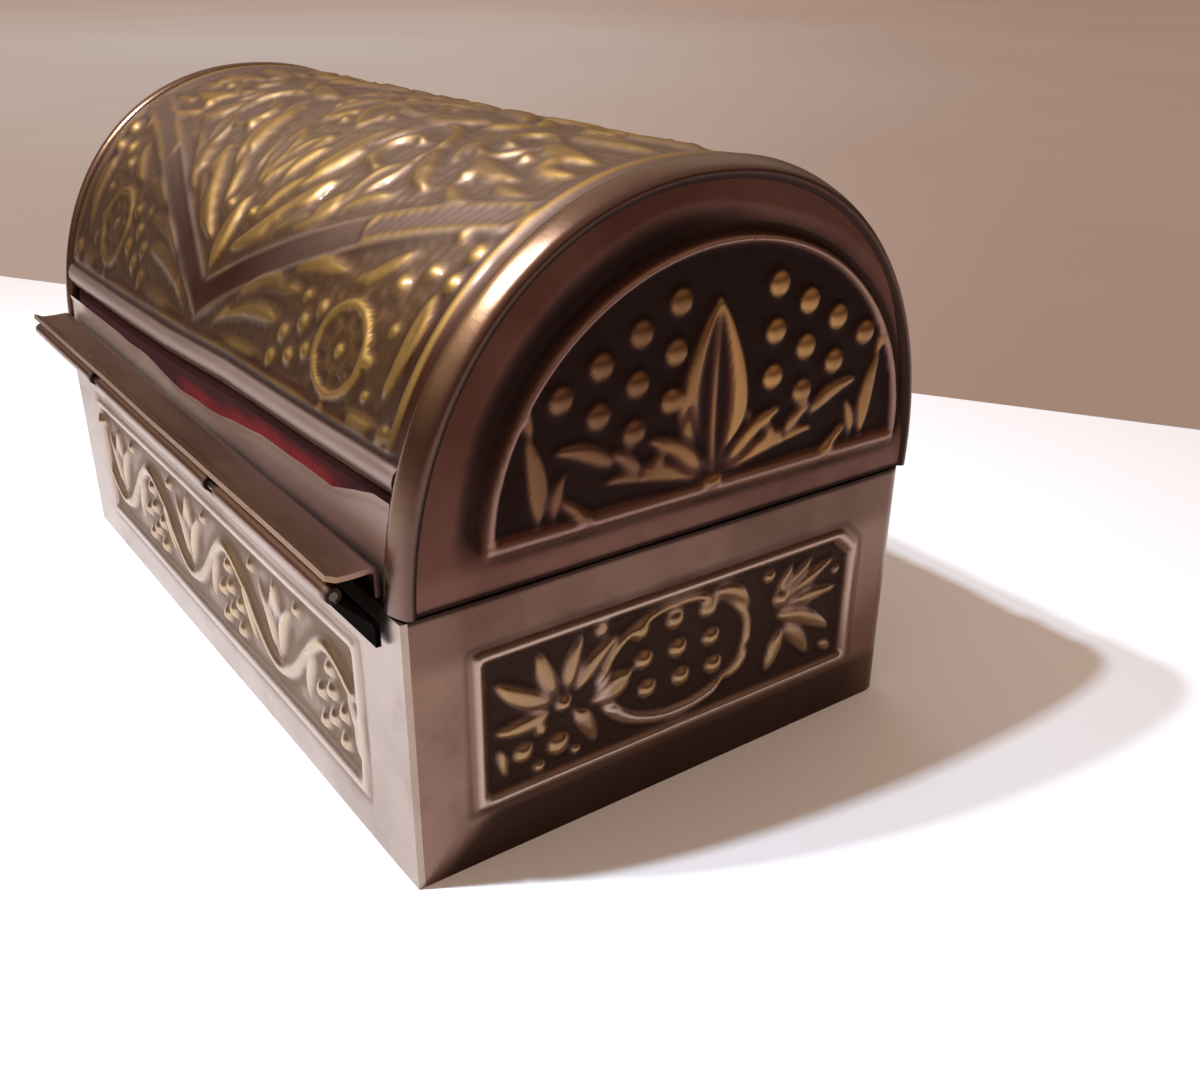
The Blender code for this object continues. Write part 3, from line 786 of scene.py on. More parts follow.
@dataclass(frozen=True)
class Plate:
    """Old silver plate: grey where whole, golden where rubbed and under a painted highlight, dark in hollows and under
    painted shade.
    """

    name: str
    silver: Colour = (0.27, 0.165, 0.14)
    tarnish: Colour = (0.11, 0.055, 0.04)
    # The colour that painted shade darkens towards
    painted_shade: Colour = (0.05, 0.02, 0.014)
    golden: Colour = (0.36, 0.22, 0.085)
    pale: Colour = (0.50, 0.38, 0.32)
    dark: Colour = (0.024, 0.008, 0.004)
    tarnished: float = 0.5
    rubbed: float = 0.6
    roughness: float = 0.26
    coat: float = 0.0
    coat_roughness: float = 0.24
    patch_size: float = 0.016
    spot_size: float = 0.0035
    streak_size: float = 0.0016
    grain_size: float = 0.0006
    grain_depth: float = 0.00003

    def make(self) -> bpy.types.Material:
        """Builds the material.

        Returns:
            The material.
        """
        paint = Paint(bpy.data.materials.new(self.name))
        patches = paint.noise(self.patch_size, 4).rise(0.38, 0.68)
        spots = paint.noise(self.spot_size, 3).rise(0.52, 0.72)
        grain = paint.noise(self.grain_size, 2)
        streaks = paint.noise(self.streak_size, 3, (0.12, 1.0, 1.0))
        worn_and_painted_highlight, sunk_and_painted_shade = paint.mark("worn_and_painted_highlight"), paint.mark("sunk_and_painted_shade")
        old = patches * 0.65 + spots * 0.35
        body = paint.mixed(old * self.tarnished, self.silver, self.tarnish)
        # Darkens where shade is painted, and along the top of the base's shell
        body = paint.mixed(paint.mark("painted_shade") * (0.75 + patches * 0.25), body, self.painted_shade)
        # Golden where rubbed and where a highlight is painted
        body = paint.mixed(worn_and_painted_highlight * (0.55 + patches * 0.45) * self.rubbed, body, self.golden)
        # Pale where rubbed bare, and where a highlight is painted on the band
        body = paint.mixed(paint.mark("pale"), body, self.pale)
        return paint.finished(
            {
                # Dark in the hollows and where shade is painted
                "Base Color": paint.mixed(sunk_and_painted_shade * (0.92 + grain * 0.08), body, self.dark),
                "Roughness": self.roughness + old * 0.10 + streaks * 0.08 + sunk_and_painted_shade * 0.30 - worn_and_painted_highlight * 0.04,
                "Metallic": 1 - sunk_and_painted_shade * 0.15,
                "Coat Weight": (1 - sunk_and_painted_shade) * self.coat,
                "Coat Roughness": self.coat_roughness,
                "Normal": paint.bumped(grain * (0.35 + sunk_and_painted_shade * 0.65) + streaks * 0.4, self.grain_depth),
            }
        )


@dataclass(frozen=True)
class Velvet:
    """Short-pile velvet, darkened where a shadow is painted on it."""

    name: str
    deep: Colour = (0.022, 0.005, 0.005)
    light: Colour = (0.16, 0.011, 0.010)
    brush_size: float = 0.013
    pile_size: float = 0.00035
    pile_depth: float = 0.00012

    def make(self) -> bpy.types.Material:
        """Builds the material.

        Returns:
            The material.
        """
        paint = Paint(bpy.data.materials.new(self.name))
        brushed = paint.noise(self.brush_size, 3).rise(0.42, 0.66)
        pile = paint.noise(self.pile_size, 2)
        # Darker where a shadow is painted on the velvet
        lit = 1 - paint.mark("painted_shade_tone")
        return paint.finished(
            {
                "Base Color": paint.mixed((brushed * 0.35 + pile * 0.35 + 0.3) * lit, self.deep, self.light),
                "Roughness": 0.9,
                "Sheen Weight": 0.06,
                "Sheen Roughness": 0.45,
                "Sheen Tint": (0.9, 0.25, 0.25, 1.0),
                "Specular IOR Level": 0.1,
                "Normal": paint.bumped(pile, self.pile_depth),
            }
        )


@dataclass(frozen=True)
class Matt:
    """A plain matt surface with faint clouds, which turns to another colour where shade is painted on it."""

    name: str
    colour: Colour
    other: Colour
    cloud_size: float = 0.09
    shine: float = 0.2

    def make(self) -> bpy.types.Material:
        """Builds the material.

        Returns:
            The material.
        """
        paint = Paint(bpy.data.materials.new(self.name))
        clouds = paint.noise(self.cloud_size, 3).rise(0.3, 0.7)
        # Turns to the other colour where shade is painted
        colour = paint.mixed(clouds * 0.15 + paint.mark("painted_shade_tone") * 0.85, self.colour, self.other)
        return paint.finished({"Base Color": colour, "Roughness": 0.85, "Specular IOR Level": self.shine})


class Finishes:
    """Every finish of the box, made once."""

    def __init__(self) -> None:
        """Makes each material."""
        # The shell's and the gable plate are darker copies of the one silver, as painted shade on the box's shaded
        # front and ends; the back's plate is a lighter copy, as painted light on the lit back.
        self.shell = Plate(
            "shaded_shell_plate", silver=(0.215, 0.125, 0.09), tarnish=(0.09, 0.045, 0.028), pale=(0.42, 0.30, 0.24),
            roughness=0.20,
        ).make()
        self.back = Plate(
            "lit_back_plate", silver=(0.38, 0.29, 0.24), tarnish=(0.22, 0.145, 0.10), golden=(0.56, 0.40, 0.20),
            pale=(0.50, 0.40, 0.34), dark=(0.15, 0.085, 0.04),
        ).make()
        self.gable = Plate(
            "shaded_gable_plate", silver=(0.17, 0.085, 0.064), tarnish=(0.085, 0.034, 0.025), golden=(0.42, 0.225, 0.08),
            painted_shade=(0.07, 0.024, 0.015), pale=(0.30, 0.18, 0.15), dark=(0.016, 0.005, 0.003), rubbed=0.9,
            roughness=0.34,
        ).make()
        self.dome = Plate(
            "dome_plate", silver=(0.18, 0.115, 0.088), tarnish=(0.085, 0.04, 0.022), golden=(0.29, 0.165, 0.045),
            painted_shade=(0.042, 0.010, 0.004), pale=(0.36, 0.26, 0.225), dark=(0.035, 0.014, 0.006), tarnished=0.6,
            rubbed=0.9, roughness=0.48, coat=0.3, coat_roughness=0.2,
        ).make()
        self.plain = Plate("plain_plate", tarnished=0.55).make()
        # Its pale colour is the painted highlight on the band's upper part
        self.band = Plate(
            "band_plate", silver=(0.32, 0.21, 0.18), tarnish=(0.20, 0.125, 0.10), painted_shade=(0.09, 0.045, 0.035),
            pale=(0.72, 0.62, 0.53), roughness=0.42,
        ).make()
        self.moulding = Plate(
            "moulding_plate", silver=(0.12, 0.05, 0.03), tarnish=(0.06, 0.024, 0.014), golden=(0.26, 0.14, 0.06),
            dark=(0.03, 0.012, 0.007), rubbed=0.8, roughness=0.25, coat=0.8,
        ).make()
        # A near-black matt that stands for the shadow in the hollow under the hood: painted shadow on the base's hinge
        # strip
        self.hollow_shadow = Matt("hollow_painted_shadow", (0.003, 0.0015, 0.001), (0.008, 0.004, 0.003), 0.004, 0.02).make()
        self.wire = Plate("hinge_wire", silver=(0.10, 0.08, 0.07), tarnish=(0.04, 0.03, 0.02)).make()
        self.velvet = Velvet("red_velvet").make()


def settle(piece: bpy.types.Object, body: str, finish: bpy.types.Material, node: str) -> None:
    """Gives a piece its finish and its body, and hides the CAD node that it stands for.

    Args:
        piece: The piece.
        body: The body it moves with.
        finish: The material.
        node: The CAD node it replaces.
    """
    piece.data.materials.append(finish)
    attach(piece, body)
    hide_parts(node)
    log.info("%s rides on %s, %d faces", piece.name, body, len(piece.data.polygons))


def refinish(node: str, finish: bpy.types.Material) -> None:
    """Gives a CAD node that is shown as it is its finish.

    Args:
        node: The node's name.
        finish: The material.
    """
    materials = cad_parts[node].data.materials
    materials.clear()
    materials.append(finish)
    log.info("%s keeps its shape", node)


# The ornament


@dataclass(frozen=True)
class Lunette:
    """The lid's ends: a spear leaf between fields of beads, in a half-round frame."""

    centre: float = 2.5
    sill: float = 31.8
    half_width: float = 23.9
    height: float = 23.0
    line: float = 0.8
    bead: float = 1.35
    bead_rows: int = 4
    bead_reach: tuple[float, float] = (22.4, 20.6)

    def outline(self, grown: float = 0.0) -> Array:
        """The frame's curve, from right to left over the crown."""
        return arc(MIDDLE, (self.half_width + grown, self.height + grown), 2, 178, 44)

    def draw(self, relief: Relief) -> None:
        """Draws it on a gable.

        Args:
            relief: The sheet to draw on.
        """
        relief.measure_from(self.centre, self.sill)
        over, wide = self.outline(), self.half_width
        relief.field(over)
        for path in (over, bow((-wide, 0), (wide, 0))):
            relief.stroke(path, self.line, 0.55, pale=0.8)
        relief.groove(self.outline(0.95), 0.7, 0.12)
        relief.groove(bow((-wide - 0.6, -1.1), (wide + 0.6, -1.1)), 0.6, 0.12)
        relief.leaves([(-0.2, 1.6, -0.7, 18.2, 0.01, 8.4, 0.85)], kind=LeafKind.HOLLOW)
        relief.leaves([(-0.8, 2.0, -3.4, 8.6, 0.16), (0.9, 2.0, 4.0, 7.4, -0.14)], 1.9, 0.75)
        for side in (-1, 1):
            relief.measure_from(self.centre, self.sill, side)
            self._half(relief, side)

    def _half(self, relief: Relief, side: int) -> None:
        """The leaves and beads beside the spear leaf, on one side.

        Args:
            relief: The sheet to draw on.
            side: 1 for the right and -1 for the left.
        """
        relief.leaves(
            [
                (1.4, 1.5, 13.0, 3.3, 0.07, 2.4, 0.72), (1.8, 2.2, 8.3, 6.4, 0.10, 2.1, 0.75),
                (8.6, 3.6, 12.6, 6.2, 0.1, 1.6, 0.7), (11.8, 4.9, 18.1, 7.3, 0.12, 2.0, 0.75),
            ]
        )
        relief.stroke(bow((20.4, 11.2), (14.3, 0.8), 0.13), 1.1, 0.72)
        relief.leaves([(19.2, 1.4, 20.7, 9.9, 0.06, 2.3, 0.7), (17.6, 1.2, 16.2, 5.8, -0.1, 1.5, 0.62)])
        relief.bead(6.6, 4.3, 0.8, 0.6)
        for column in range(self.bead_rows):
            for row in range(self.bead_rows):
                across = 5.6 + 0.5 * side + 4.0 * column + 0.15 * row
                up = 18.4 - 2.15 * column - 4.4 * row
                lowest = 6.3 + 0.5 * column
                if up > lowest and (across / self.bead_reach[0]) ** 2 + (up / self.bead_reach[1]) ** 2 < 1:
                    relief.bead(across, up, self.bead, 0.85)


@dataclass(frozen=True)
class FramedPanel:
    """A sunk panel in a rectangular frame, whose upper right corner may be cut off."""

    half_width: float
    foot: float
    head: float
    cut_across: float = 0.0
    cut_down: float = 0.0
    ground_inset: float = 0.7
    groove_depth: float = 0.12

    def frame(self, inset: float) -> Array:
        """The frame's corners, at a distance inside it.

        Args:
            inset: The distance.

        Returns:
            The corners, followed round.
        """
        low, high, wide = self.foot + inset, self.head - inset, self.half_width - inset
        cut = [(wide, high - self.cut_down), (wide - self.cut_across, high)]
        return np.array([(-wide, low), (wide, low), *cut, (-wide, high)])

    def draw_frame(self, relief: Relief, centre: float) -> None:
        """Sinks the ground and draws the frame, round a place along the sheet.

        Args:
            relief: The sheet to draw on.
            centre: The place along the sheet that it is centred on.
        """
        relief.measure_from(centre, 0)
        relief.field(self.frame(self.ground_inset))
        relief.stroke(self.frame(0), 0.8, 0.42, closed=True, pale=0.9)
        relief.groove(self.frame(-1.0), 0.7, self.groove_depth, closed=True)


@dataclass(frozen=True)
class EndPanel(FramedPanel):
    """The base's ends: a beaded cartouche between two palmettes."""

    half_width: float = 23.0
    foot: float = 6.3
    head: float = 21.8
    cut_across: float = 2.2
    cut_down: float = 2.0
    ground_inset: float = 0.6
    groove_depth: float = 0.13
    middle: tuple[float, float] = (-0.4, 14.3)

    def draw(self, relief: Relief, centre: float) -> None:
        """Draws it on the base's shell, round a place along it.

        Args:
            relief: The sheet to draw on.
            centre: The place along the sheet that it is centred on.
        """
        self.draw_frame(relief, centre)
        relief.stroke(arc(self.middle, (9.1, 6.1), 0, 360, 40), 1.05, 0.72, closed=True)
        relief.stroke(arc(self.middle, (9.3, 6.3), 175, 300), 1.5, 0.72, pale=0.55)
        relief.leaves(
            [
                (-6.4, 14.6, -10.9, 12.8, 0.05, 3.4, 0.8), (3.8, 20.2, 8.9, 16.6, 0.16, 1.9, 0.85),
                (8.6, 12.2, 5.6, 9.4, 0.14, 1.5, 0.75),
            ]
        )
        for row in (-1, 0, 1):
            for column in (-1, 0, 1):
                across = column * 4.2 + self.middle[0] - row * 0.5
                relief.bead(across, self.middle[1] + 0.9 + row * 3.4 - column * 0.1, 1.2, 0.85)
        self._right_palmette(relief)
        self._left_palmette(relief)

    def _right_palmette(self, relief: Relief) -> None:
        """The spray of leaves on the right.

        Args:
            relief: The sheet to draw on.
        """
        relief.leaves(
            [
                (12.8, 14.6, 14.6, 20.6, 0.07, 1.9, 0.8), (12.8, 14.6, 17.6, 20.4, 0.07, 2.0, 0.8),
                (12.8, 14.6, 20.8, 19.2, 0.07, 2.1, 0.8), (12.8, 14.6, 21.6, 15.4, 0.07, 2.2, 0.8),
                (12.8, 14.6, 20.9, 10.4, 0.07, 2.2, 0.8), (14.0, 13.0, 17.8, 8.2, 0.05, 2.2, 0.75),
                (13.2, 12.8, 11.4, 8.0, 0.05, 2.2, 0.8), (19.2, 9.2, 21.4, 7.6, 0.05, 1.5, 0.6),
            ]
        )
        relief.beads([(13.1, 16.6, 1.15, 0.9), (11.3, 19.6, 0.9, 0.7), (20.9, 17.6, 0.7, 0.6)])

    def _left_palmette(self, relief: Relief) -> None:
        """The spray of leaves on the left.

        Args:
            relief: The sheet to draw on.
        """
        relief.leaves(
            [
                (-12.4, 14.9, -7.6, 19.4, 0.06, 2.2), (-13.4, 15.4, -11.6, 20.9, 0.06, 2.0),
                (-14.7, 15.3, -16.6, 20.6, 0.06, 2.1), (-15.4, 14.5, -21.5, 18.8, 0.06, 2.3),
                (-15.6, 13.5, -21.7, 13.4, 0.06, 2.2), (-12.7, 12.7, -10.2, 7.9, 0.06, 2.0),
            ],
            0.8,
        )
        relief.beads([(-13.9, 13.9, 1.0), (-14.5, 9.6, 1.35), (-18.4, 10.2, 1.2)], 0.85)
        relief.beads([(-16.5, 12.0, 0.8), (-16.7, 8.0, 0.7), (-12.6, 8.2, 0.6)], 0.85)
        relief.leaves([(-21.2, 11.6, -20.3, 7.7, 0.05, 1.3, 0.7)])
        relief.bead(-9.6, 20.3, 0.9, 0.7)


@dataclass(frozen=True)
class LongPanel(FramedPanel):
    """The base's long sides: a running scroll with leaves and clusters of beads in its bays."""

    half_width: float = 39.3
    foot: float = 5.2
    head: float = 20.9
    bays: int = 6
    swing: float = 4.4
    scroll_end: float = 1.6

    def draw(self, relief: Relief, centre: float) -> None:
        """Draws it on a panel, round a place along it.

        Args:
            relief: The sheet to draw on.
            centre: The place along the sheet that it is centred on.
        """
        self.draw_frame(relief, centre)
        middle = (self.foot + self.head) / 2
        bay = self.half_width * 2 / self.bays
        across = np.linspace(self.scroll_end - self.half_width, self.half_width - self.scroll_end, 90)
        wave = middle + self.swing * np.sin(across * math.pi / bay)
        relief.stroke(np.stack([across, wave], 1), 1.5, 0.85)
        for k in range(self.bays):
            place = -self.half_width + bay * (k + 0.5)
            up = 1 if math.sin(place * math.pi / bay) < 0 else -1
            relief.measure_from(centre + place, middle, 1, up)
            if k % 2:
                self._bead_bay(relief)
            else:
                self._leaf_bay(relief)

    def _leaf_bay(self, relief: Relief) -> None:
        """A bay with three leaves.

        Args:
            relief: The sheet to draw on.
        """
        relief.leaves([(0, -2.6, 0.2, 6.0, 0.02, 3.3, 0.85)], kind=LeafKind.HOLLOW)
        relief.leaves([(-0.8, -2.2, -4.6, 4.4, -0.12), (0.8, -2.2, 4.6, 4.4, 0.12)], 2.1, 0.75)
        relief.beads([(-5.9, 5.2), (5.9, 5.2)], 0.9, 0.75)

    def _bead_bay(self, relief: Relief) -> None:
        """A bay with a cluster of beads and a leaf on each side."""
        relief.beads([(0, 0.4), (-2.6, 1.6), (2.6, 1.6), (0, 3.4), (-2.3, 4.9), (2.3, 4.9), (0, -2.2)], 1.1, 0.85)
        relief.leaves([(-3.6, -1.4, -6.2, 4.8, 0.08), (3.6, -1.4, 6.2, 4.8, -0.08)], 1.9, 0.75)


@dataclass(frozen=True)
class DomeField:
    """The dome: leaves over the crown, framed by plain bands, with a rosette in each corner."""

    half_length: float = 45.2
    half_span: float = 38.2
    band_end: float = 15.0
    band_cusp: float = 34.5
    band_half: float = 1.9
    band_bend: float = 1.3
    petals: int = 8
    rosette: float = 4.3
    rosette_centre: tuple[float, float] = (32.0, 32.0)
    ground_soft: float = 0.6

    def band(self, along: Array) -> Array:
        """How far from the crown the plain band lies."""
        share = np.clip(1 - np.abs(along) / self.half_length, 0, 1)
        return self.band_end + (self.band_cusp - self.band_end) * share**self.band_bend

    def draw(self, relief: Relief) -> None:
        """Draws it on the dome.

        Args:
            relief: The sheet to draw on.
        """
        wide, high = self.half_length, self.half_span
        relief.measure_from(*MIDDLE)
        relief.stroke([(-wide, -high), (wide, -high), (wide, high), (-wide, high)], 1.1, 0.42, closed=True)
        along = np.linspace(1.8 - wide, wide - 1.8, 60)
        inner = self.band(along) - self.band_half
        edge = np.concatenate([np.stack([along, inner], 1), np.stack([along[::-1], -inner[::-1]], 1)])
        relief.field(edge, self.ground_soft)
        along = np.linspace(0.5, wide - 2.4, 30)
        outer = np.stack([along, self.band(along) + self.band_half + 0.4], 1)
        corner = np.concatenate([outer, [(wide - 1.2, high - 1.0), (0.5, high - 1.0)]])
        for _ in relief.quarters():
            relief.field(corner, self.ground_soft)
        self._crown(relief)
        for _ in relief.quarters():
            self._quarter(relief)
            self._corner(relief)
        relief.matting(1.5, 0.26, 51)

    def _crown(self, relief: Relief) -> None:
        """The flower on the crown.

        Args:
            relief: The sheet to draw on.
        """
        for k in range(self.petals):
            turn = math.tau * (k + 0.5) / self.petals
            ends = (*on_ring(MIDDLE, 3.0, turn), *on_ring(MIDDLE, 10.6, turn))
            relief.leaves([ends], 0.05, 5.6, 0.8, kind=LeafKind.HOLLOW)
            relief.bead(*on_ring(MIDDLE, 8.9, turn + 0.39), 0.8, 0.7)
        relief.stroke(ring(MIDDLE, 3.1), 0.9, 0.75, closed=True)
        relief.bead(*MIDDLE, 1.8, 0.8)

    def _quarter(self, relief: Relief) -> None:
        """The leaves, scrolls and bands of one quarter.

        Args:
            relief: The sheet to draw on.
        """
        along = np.linspace(0.4, self.half_length - 1.6, 40)
        for offset in (-self.band_half, self.band_half):
            relief.stroke(np.stack([along, self.band(along) + offset], 1), 0.7, 0.28, pale=0.2)
        far = np.linspace(self.half_length * 0.60, self.half_length - 1.9, 24)
        relief.rope(np.stack([far, self.band(far)], 1), self.band_half * 1.7, 0.5, 1.35)
        relief.stroke(curl((17.5, 11.0), 6.2, 200, 1.25), 1.3, 0.85)
        relief.stroke(curl((29.5, 5.0), 4.6, 160, -1.2), 1.2, 0.8)
        relief.leaves(
            [
                (10.6, 4.6, 19.4, 1.4, 0.12, 3.9, 0.85), (11.0, 8.8, 6.0, 21.4, -0.12, 4.4, 0.9),
                (13.4, 17.9, 2.1, 28.6, -0.10, 4.2, 0.9), (18.6, 17.6, 11.2, 24.4, -0.14, 3.3, 0.85),
            ]
        )
        relief.leaves([(21.9, 13.2, 19.0, 20.7, 0.12, 3.4, 0.85)], kind=LeafKind.HOLLOW)
        relief.leaves(
            [
                (22.9, 10.4, 28.6, 15.6, 0.12, 3.2, 0.85), (29.2, 9.8, 38.0, 11.2, 0.10, 3.0, 0.85),
                (32.5, 4.3, 42.0, 5.7, 0.10, 3.3, 0.85), (31.2, 1.2, 42.8, 0.3, -0.02, 2.5, 0.8),
                (20.4, 3.4, 23.9, -0.2, 0.1, 2.3, 0.8),
            ]
        )
        relief.leaves([(3.3, 12.4, 0.6, 20.8, 0.05, 3.3, 0.85)], kind=LeafKind.HOLLOW)
        relief.leaves([(0.0, 31.0, 0.0, 22.2, 0.0, 3.4, 0.8)])
        relief.bead(3.0, 24.0, 0.9, 0.7)
        relief.leaves(
            [
                (24.4, 17.2, 18.4, 21.8), (30.6, 14.2, 36.6, 15.4), (36.0, 12.6, 42.0, 12.6),
                (36.6, 8.6, 43.0, 8.4), (8.6, 18.0, 4.4, 25.4), (14.8, 22.0, 8.4, 27.4),
                (25.0, 6.8, 26.6, 11.4), (13.8, 7.4, 12.2, 12.6), (5.4, 13.8, 3.8, 20.0),
            ],
            0.1, 1.9, 0.7,
        )
        relief.beads([(25.3, 13.2), (31.2, 12.5), (34.3, 8.0), (37.8, 7.8), (9.0, 23.4), (14.9, 13.8)], 1.2, 0.85)

    def _corner(self, relief: Relief) -> None:
        """The rosette, leaves and beads of one corner.

        Args:
            relief: The sheet to draw on.
        """
        centre = self.rosette_centre
        relief.stroke(ring(centre, self.rosette), 1.2, 0.7, closed=True)
        relief.stroke(ring(centre, 1.9), 0.8, 0.5, closed=True)
        relief.bead(*centre, 1.0, 0.6)
        for k in range(self.petals):
            turn = math.tau * k / self.petals
            relief.bead(*on_ring(centre, 2.9, turn), 0.62, 0.5)
            relief.bead(*on_ring(centre, 5.6, turn), 0.7, 0.35)
        relief.leaves([(41.9, 24.2, 41.2, 34.2, -0.08, 2.9, 0.75), (36.0, 36.6, 43.4, 36.4, 0.04, 1.7, 0.5)])
        relief.beads([(43.2, 19.8), (42.9, 22.9), (39.4, 22.6), (36.4, 24.6), (43.4, 36.6)], 1.2, 0.7)
        relief.beads([(26.3, 29.4), (23.8, 31.4), (26.0, 33.6), (23.0, 35.0), (20.8, 33.2), (19.6, 36.0)], 1.15, 0.6)
        relief.leaves(
            [
                (18.6, 32.6, 3.6, 36.6, 0.10, 2.6, 0.6), (20.8, 29.2, 8.2, 33.6, 0.12, 2.4, 0.6),
                (27.0, 25.6, 17.4, 28.9, 0.10, 2.2, 0.6), (35.2, 21.4, 28.4, 26.2, -0.10, 2.2, 0.6),
                (17.4, 36.6, 6.4, 37.2, 0.02, 1.4, 0.5),
            ]
        )
        relief.beads([(39.6, 19.0), (31.4, 25.4), (38.9, 28.3), (38.4, 34.6), (22.6, 29.0), (37.2, 31.6)], 0.8, 0.55)


# The base


class Thin(Enum):
    """The way in which a card on a wall is thin."""

    X = 0
    Y = 1


@dataclass
class Base:
    """The base: its bent shell, its back panel, its floor and its lining."""

    finishes: Finishes
    half_length: float = 49.0
    half_width: float = 30.0
    height: float = 27.5
    sheet: float = 0.7
    corner: float = 2.5
    gap: float = 0.3
    card: float = 1.0
    lining_foot: float = 1.1
    lining_head: float = 27.0
    step: float = 0.26
    depth: float = 0.42
    highest: float = 0.48

    @property
    def end_length(self) -> float:
        """The length of one end of the shell, up to its bend."""
        return 2 * self.half_width - self.sheet - self.corner

    @property
    def bend_length(self) -> float:
        """The length of one bend."""
        return self.corner * math.pi / 2

    @property
    def front_length(self) -> float:
        """The length of the front between its bends."""
        return 2 * (self.half_length - self.corner)

    def build(self) -> None:
        """Builds every piece of the base."""
        self._shell()
        self._back_wall()
        refinish("base_floor", self.finishes.plain)
        self._lining()

    def _panel_grid(self, start: float, end: float) -> Array:
        """(run, rise) over a wall, from one place along it to another.

        Args:
            start: The first place.
            end: The last place.

        Returns:
            The two grids.
        """
        along = np.linspace(start, end, int((end - start) / self.step) + 1)
        up = np.linspace(0, self.height, int(self.height / self.step) + 1)
        return np.stack(np.meshgrid(along, up, indexing="ij"))

    def _round_the_front(self, run: Array) -> Array:
        """(x, y, normal x, normal y) at distances along the shell, from its near back edge.

        Args:
            run: The distances.

        Returns:
            One grid for each of the four.
        """
        lengths = (self.end_length, self.bend_length, self.front_length, self.bend_length, self.end_length)
        starts = np.cumsum((0, *lengths[:-1]))
        near_end, near_bend, front, far_bend, far_end = (
            np.clip(run - start, 0, length) for start, length in zip(starts, lengths)
        )
        turn = (near_bend + far_bend) / self.corner
        normal_x, normal_y = -np.cos(turn), -np.sin(turn)
        x = self.corner - self.half_length + front + normal_x * self.corner
        y = self.half_width - self.sheet - near_end + far_end + normal_y * self.corner
        return np.stack([x, y, normal_x, normal_y])

    def _shell(self) -> None:
        """The sheet round the front and both ends."""
        total = 2 * self.end_length + 2 * self.bend_length + self.front_length
        run, rise = self._panel_grid(0, total)
        relief = Relief(run, rise)
        end = self.half_width - self.sheet
        EndPanel().draw(relief, end)
        LongPanel().draw(relief, self.end_length + self.bend_length + self.front_length / 2)
        EndPanel().draw(relief, total - end)
        uneven = 0.05 * waver(run, rise, 45, 3) * smooth(0, 4, rise)
        height = np.minimum(relief.heights(self.depth), self.highest) + uneven
        x, y, normal_x, normal_y = self._round_the_front(run)
        top = rise + 0.06 * waver(run, rise * 0, 30, 5) * smooth(20, 27, rise)
        front = np.stack([x + normal_x * height, y + normal_y * height, top], -1)
        back = np.stack([x - normal_x * self.sheet, y - normal_y * self.sheet, top], -1)
        marks = relief.marks(height)
        # Darker towards the top of the shell
        marks["painted_shade"] = 0.55 * smooth(20.8, 23.6, rise)
        # A painted reflection of the shadow on the table: a dark wedge at the foot of each end, fainter along the
        # front. The shell's top edge gets painted shade at the seam under the lid.
        from_corner = np.minimum(run, total - run)
        foot = 0.9 * smooth(6.2, 4.6, rise) * smooth(-0.5, 2.5, from_corner - 1.17 * rise)
        foot *= 1 - 0.7 * smooth(self.end_length - 5, self.end_length + 5, from_corner)
        marks["sunk_and_painted_shade"] = np.maximum(marks["sunk_and_painted_shade"], np.maximum(foot, smooth(26.9, 27.3, rise)))
        piece = sheet_piece("shell_sheet", front, back, marks, turned=True)
        settle(piece, "base", self.finishes.shell, "base_front_shell")

    def _back_wall(self) -> None:
        """The flat back panel."""
        run, rise = self._panel_grid(-self.half_length, self.half_length)
        relief = Relief(run, rise)
        LongPanel().draw(relief, 0)
        uneven = 0.09 * waver(run, rise, 50, 8) * smooth(0, 5, self.half_length - np.abs(run))
        height = relief.heights(self.depth) + uneven
        top = rise + 0.08 * waver(run, rise * 0, 34, 9) * smooth(20, 27, rise)
        front = np.stack([-run, self.half_width + height, top], -1)
        back = np.stack([-run, np.full(run.shape, self.half_width - self.sheet), top], -1)
        piece = sheet_piece("back_sheet", front, back, relief.marks(height, 0.55), turned=True)
        settle(piece, "base", self.finishes.back, "base_back_wall")

    def _lining(self) -> None:
        """The velvet on the walls and the pad on the floor."""
        inner_x = self.half_length - self.sheet - self.gap
        inner_y = self.half_width - self.sheet - self.gap
        long, short = self.half_length - self.corner, self.half_width - self.corner
        self._board("front", Thin.Y, -inner_y, long)
        self._board("back", Thin.Y, inner_y, long)
        self._board("near", Thin.X, -inner_x, short)
        self._board("far", Thin.X, inner_x, short)
        self._pad(inner_x - self.card - self.gap, inner_y - self.card - self.gap)

    def _board(self, name: str, thin: Thin, wall: float, half_run: float) -> None:
        """A velvet-covered card on a wall, softly rounded and puffed on its inner side.

        Args:
            name: The wall's name.
            thin: The way the card is thin.
            wall: Where the card's outer side lies, along that way.
            half_run: Half the card's length.
        """
        length, tall = 2 * half_run, self.lining_head - self.lining_foot
        run, rise = np.meshgrid(np.linspace(0, 1, 61), np.linspace(0, 1, 25), indexing="ij")
        near = np.minimum(np.minimum(run, 1 - run) * length, np.minimum(rise, 1 - rise) * tall)
        uneven = 1 + waver(run * length, rise * tall, 18, 21 + thin.value)
        puff = 0.55 + 0.45 * smooth(0, 1.6, near) - 0.05 * uneven
        place = np.zeros((2, *run.shape, 3))
        place[..., 1 - thin.value] = -half_run + run * length
        place[..., thin.value] = wall - math.copysign(self.card, wall) * np.stack([puff, puff * 0])
        place[..., 2] = self.lining_foot + rise * tall
        piece = sheet_piece("velvet_" + name, *place, {})
        settle(piece, "base", self.finishes.velvet, "base_lining_" + name)

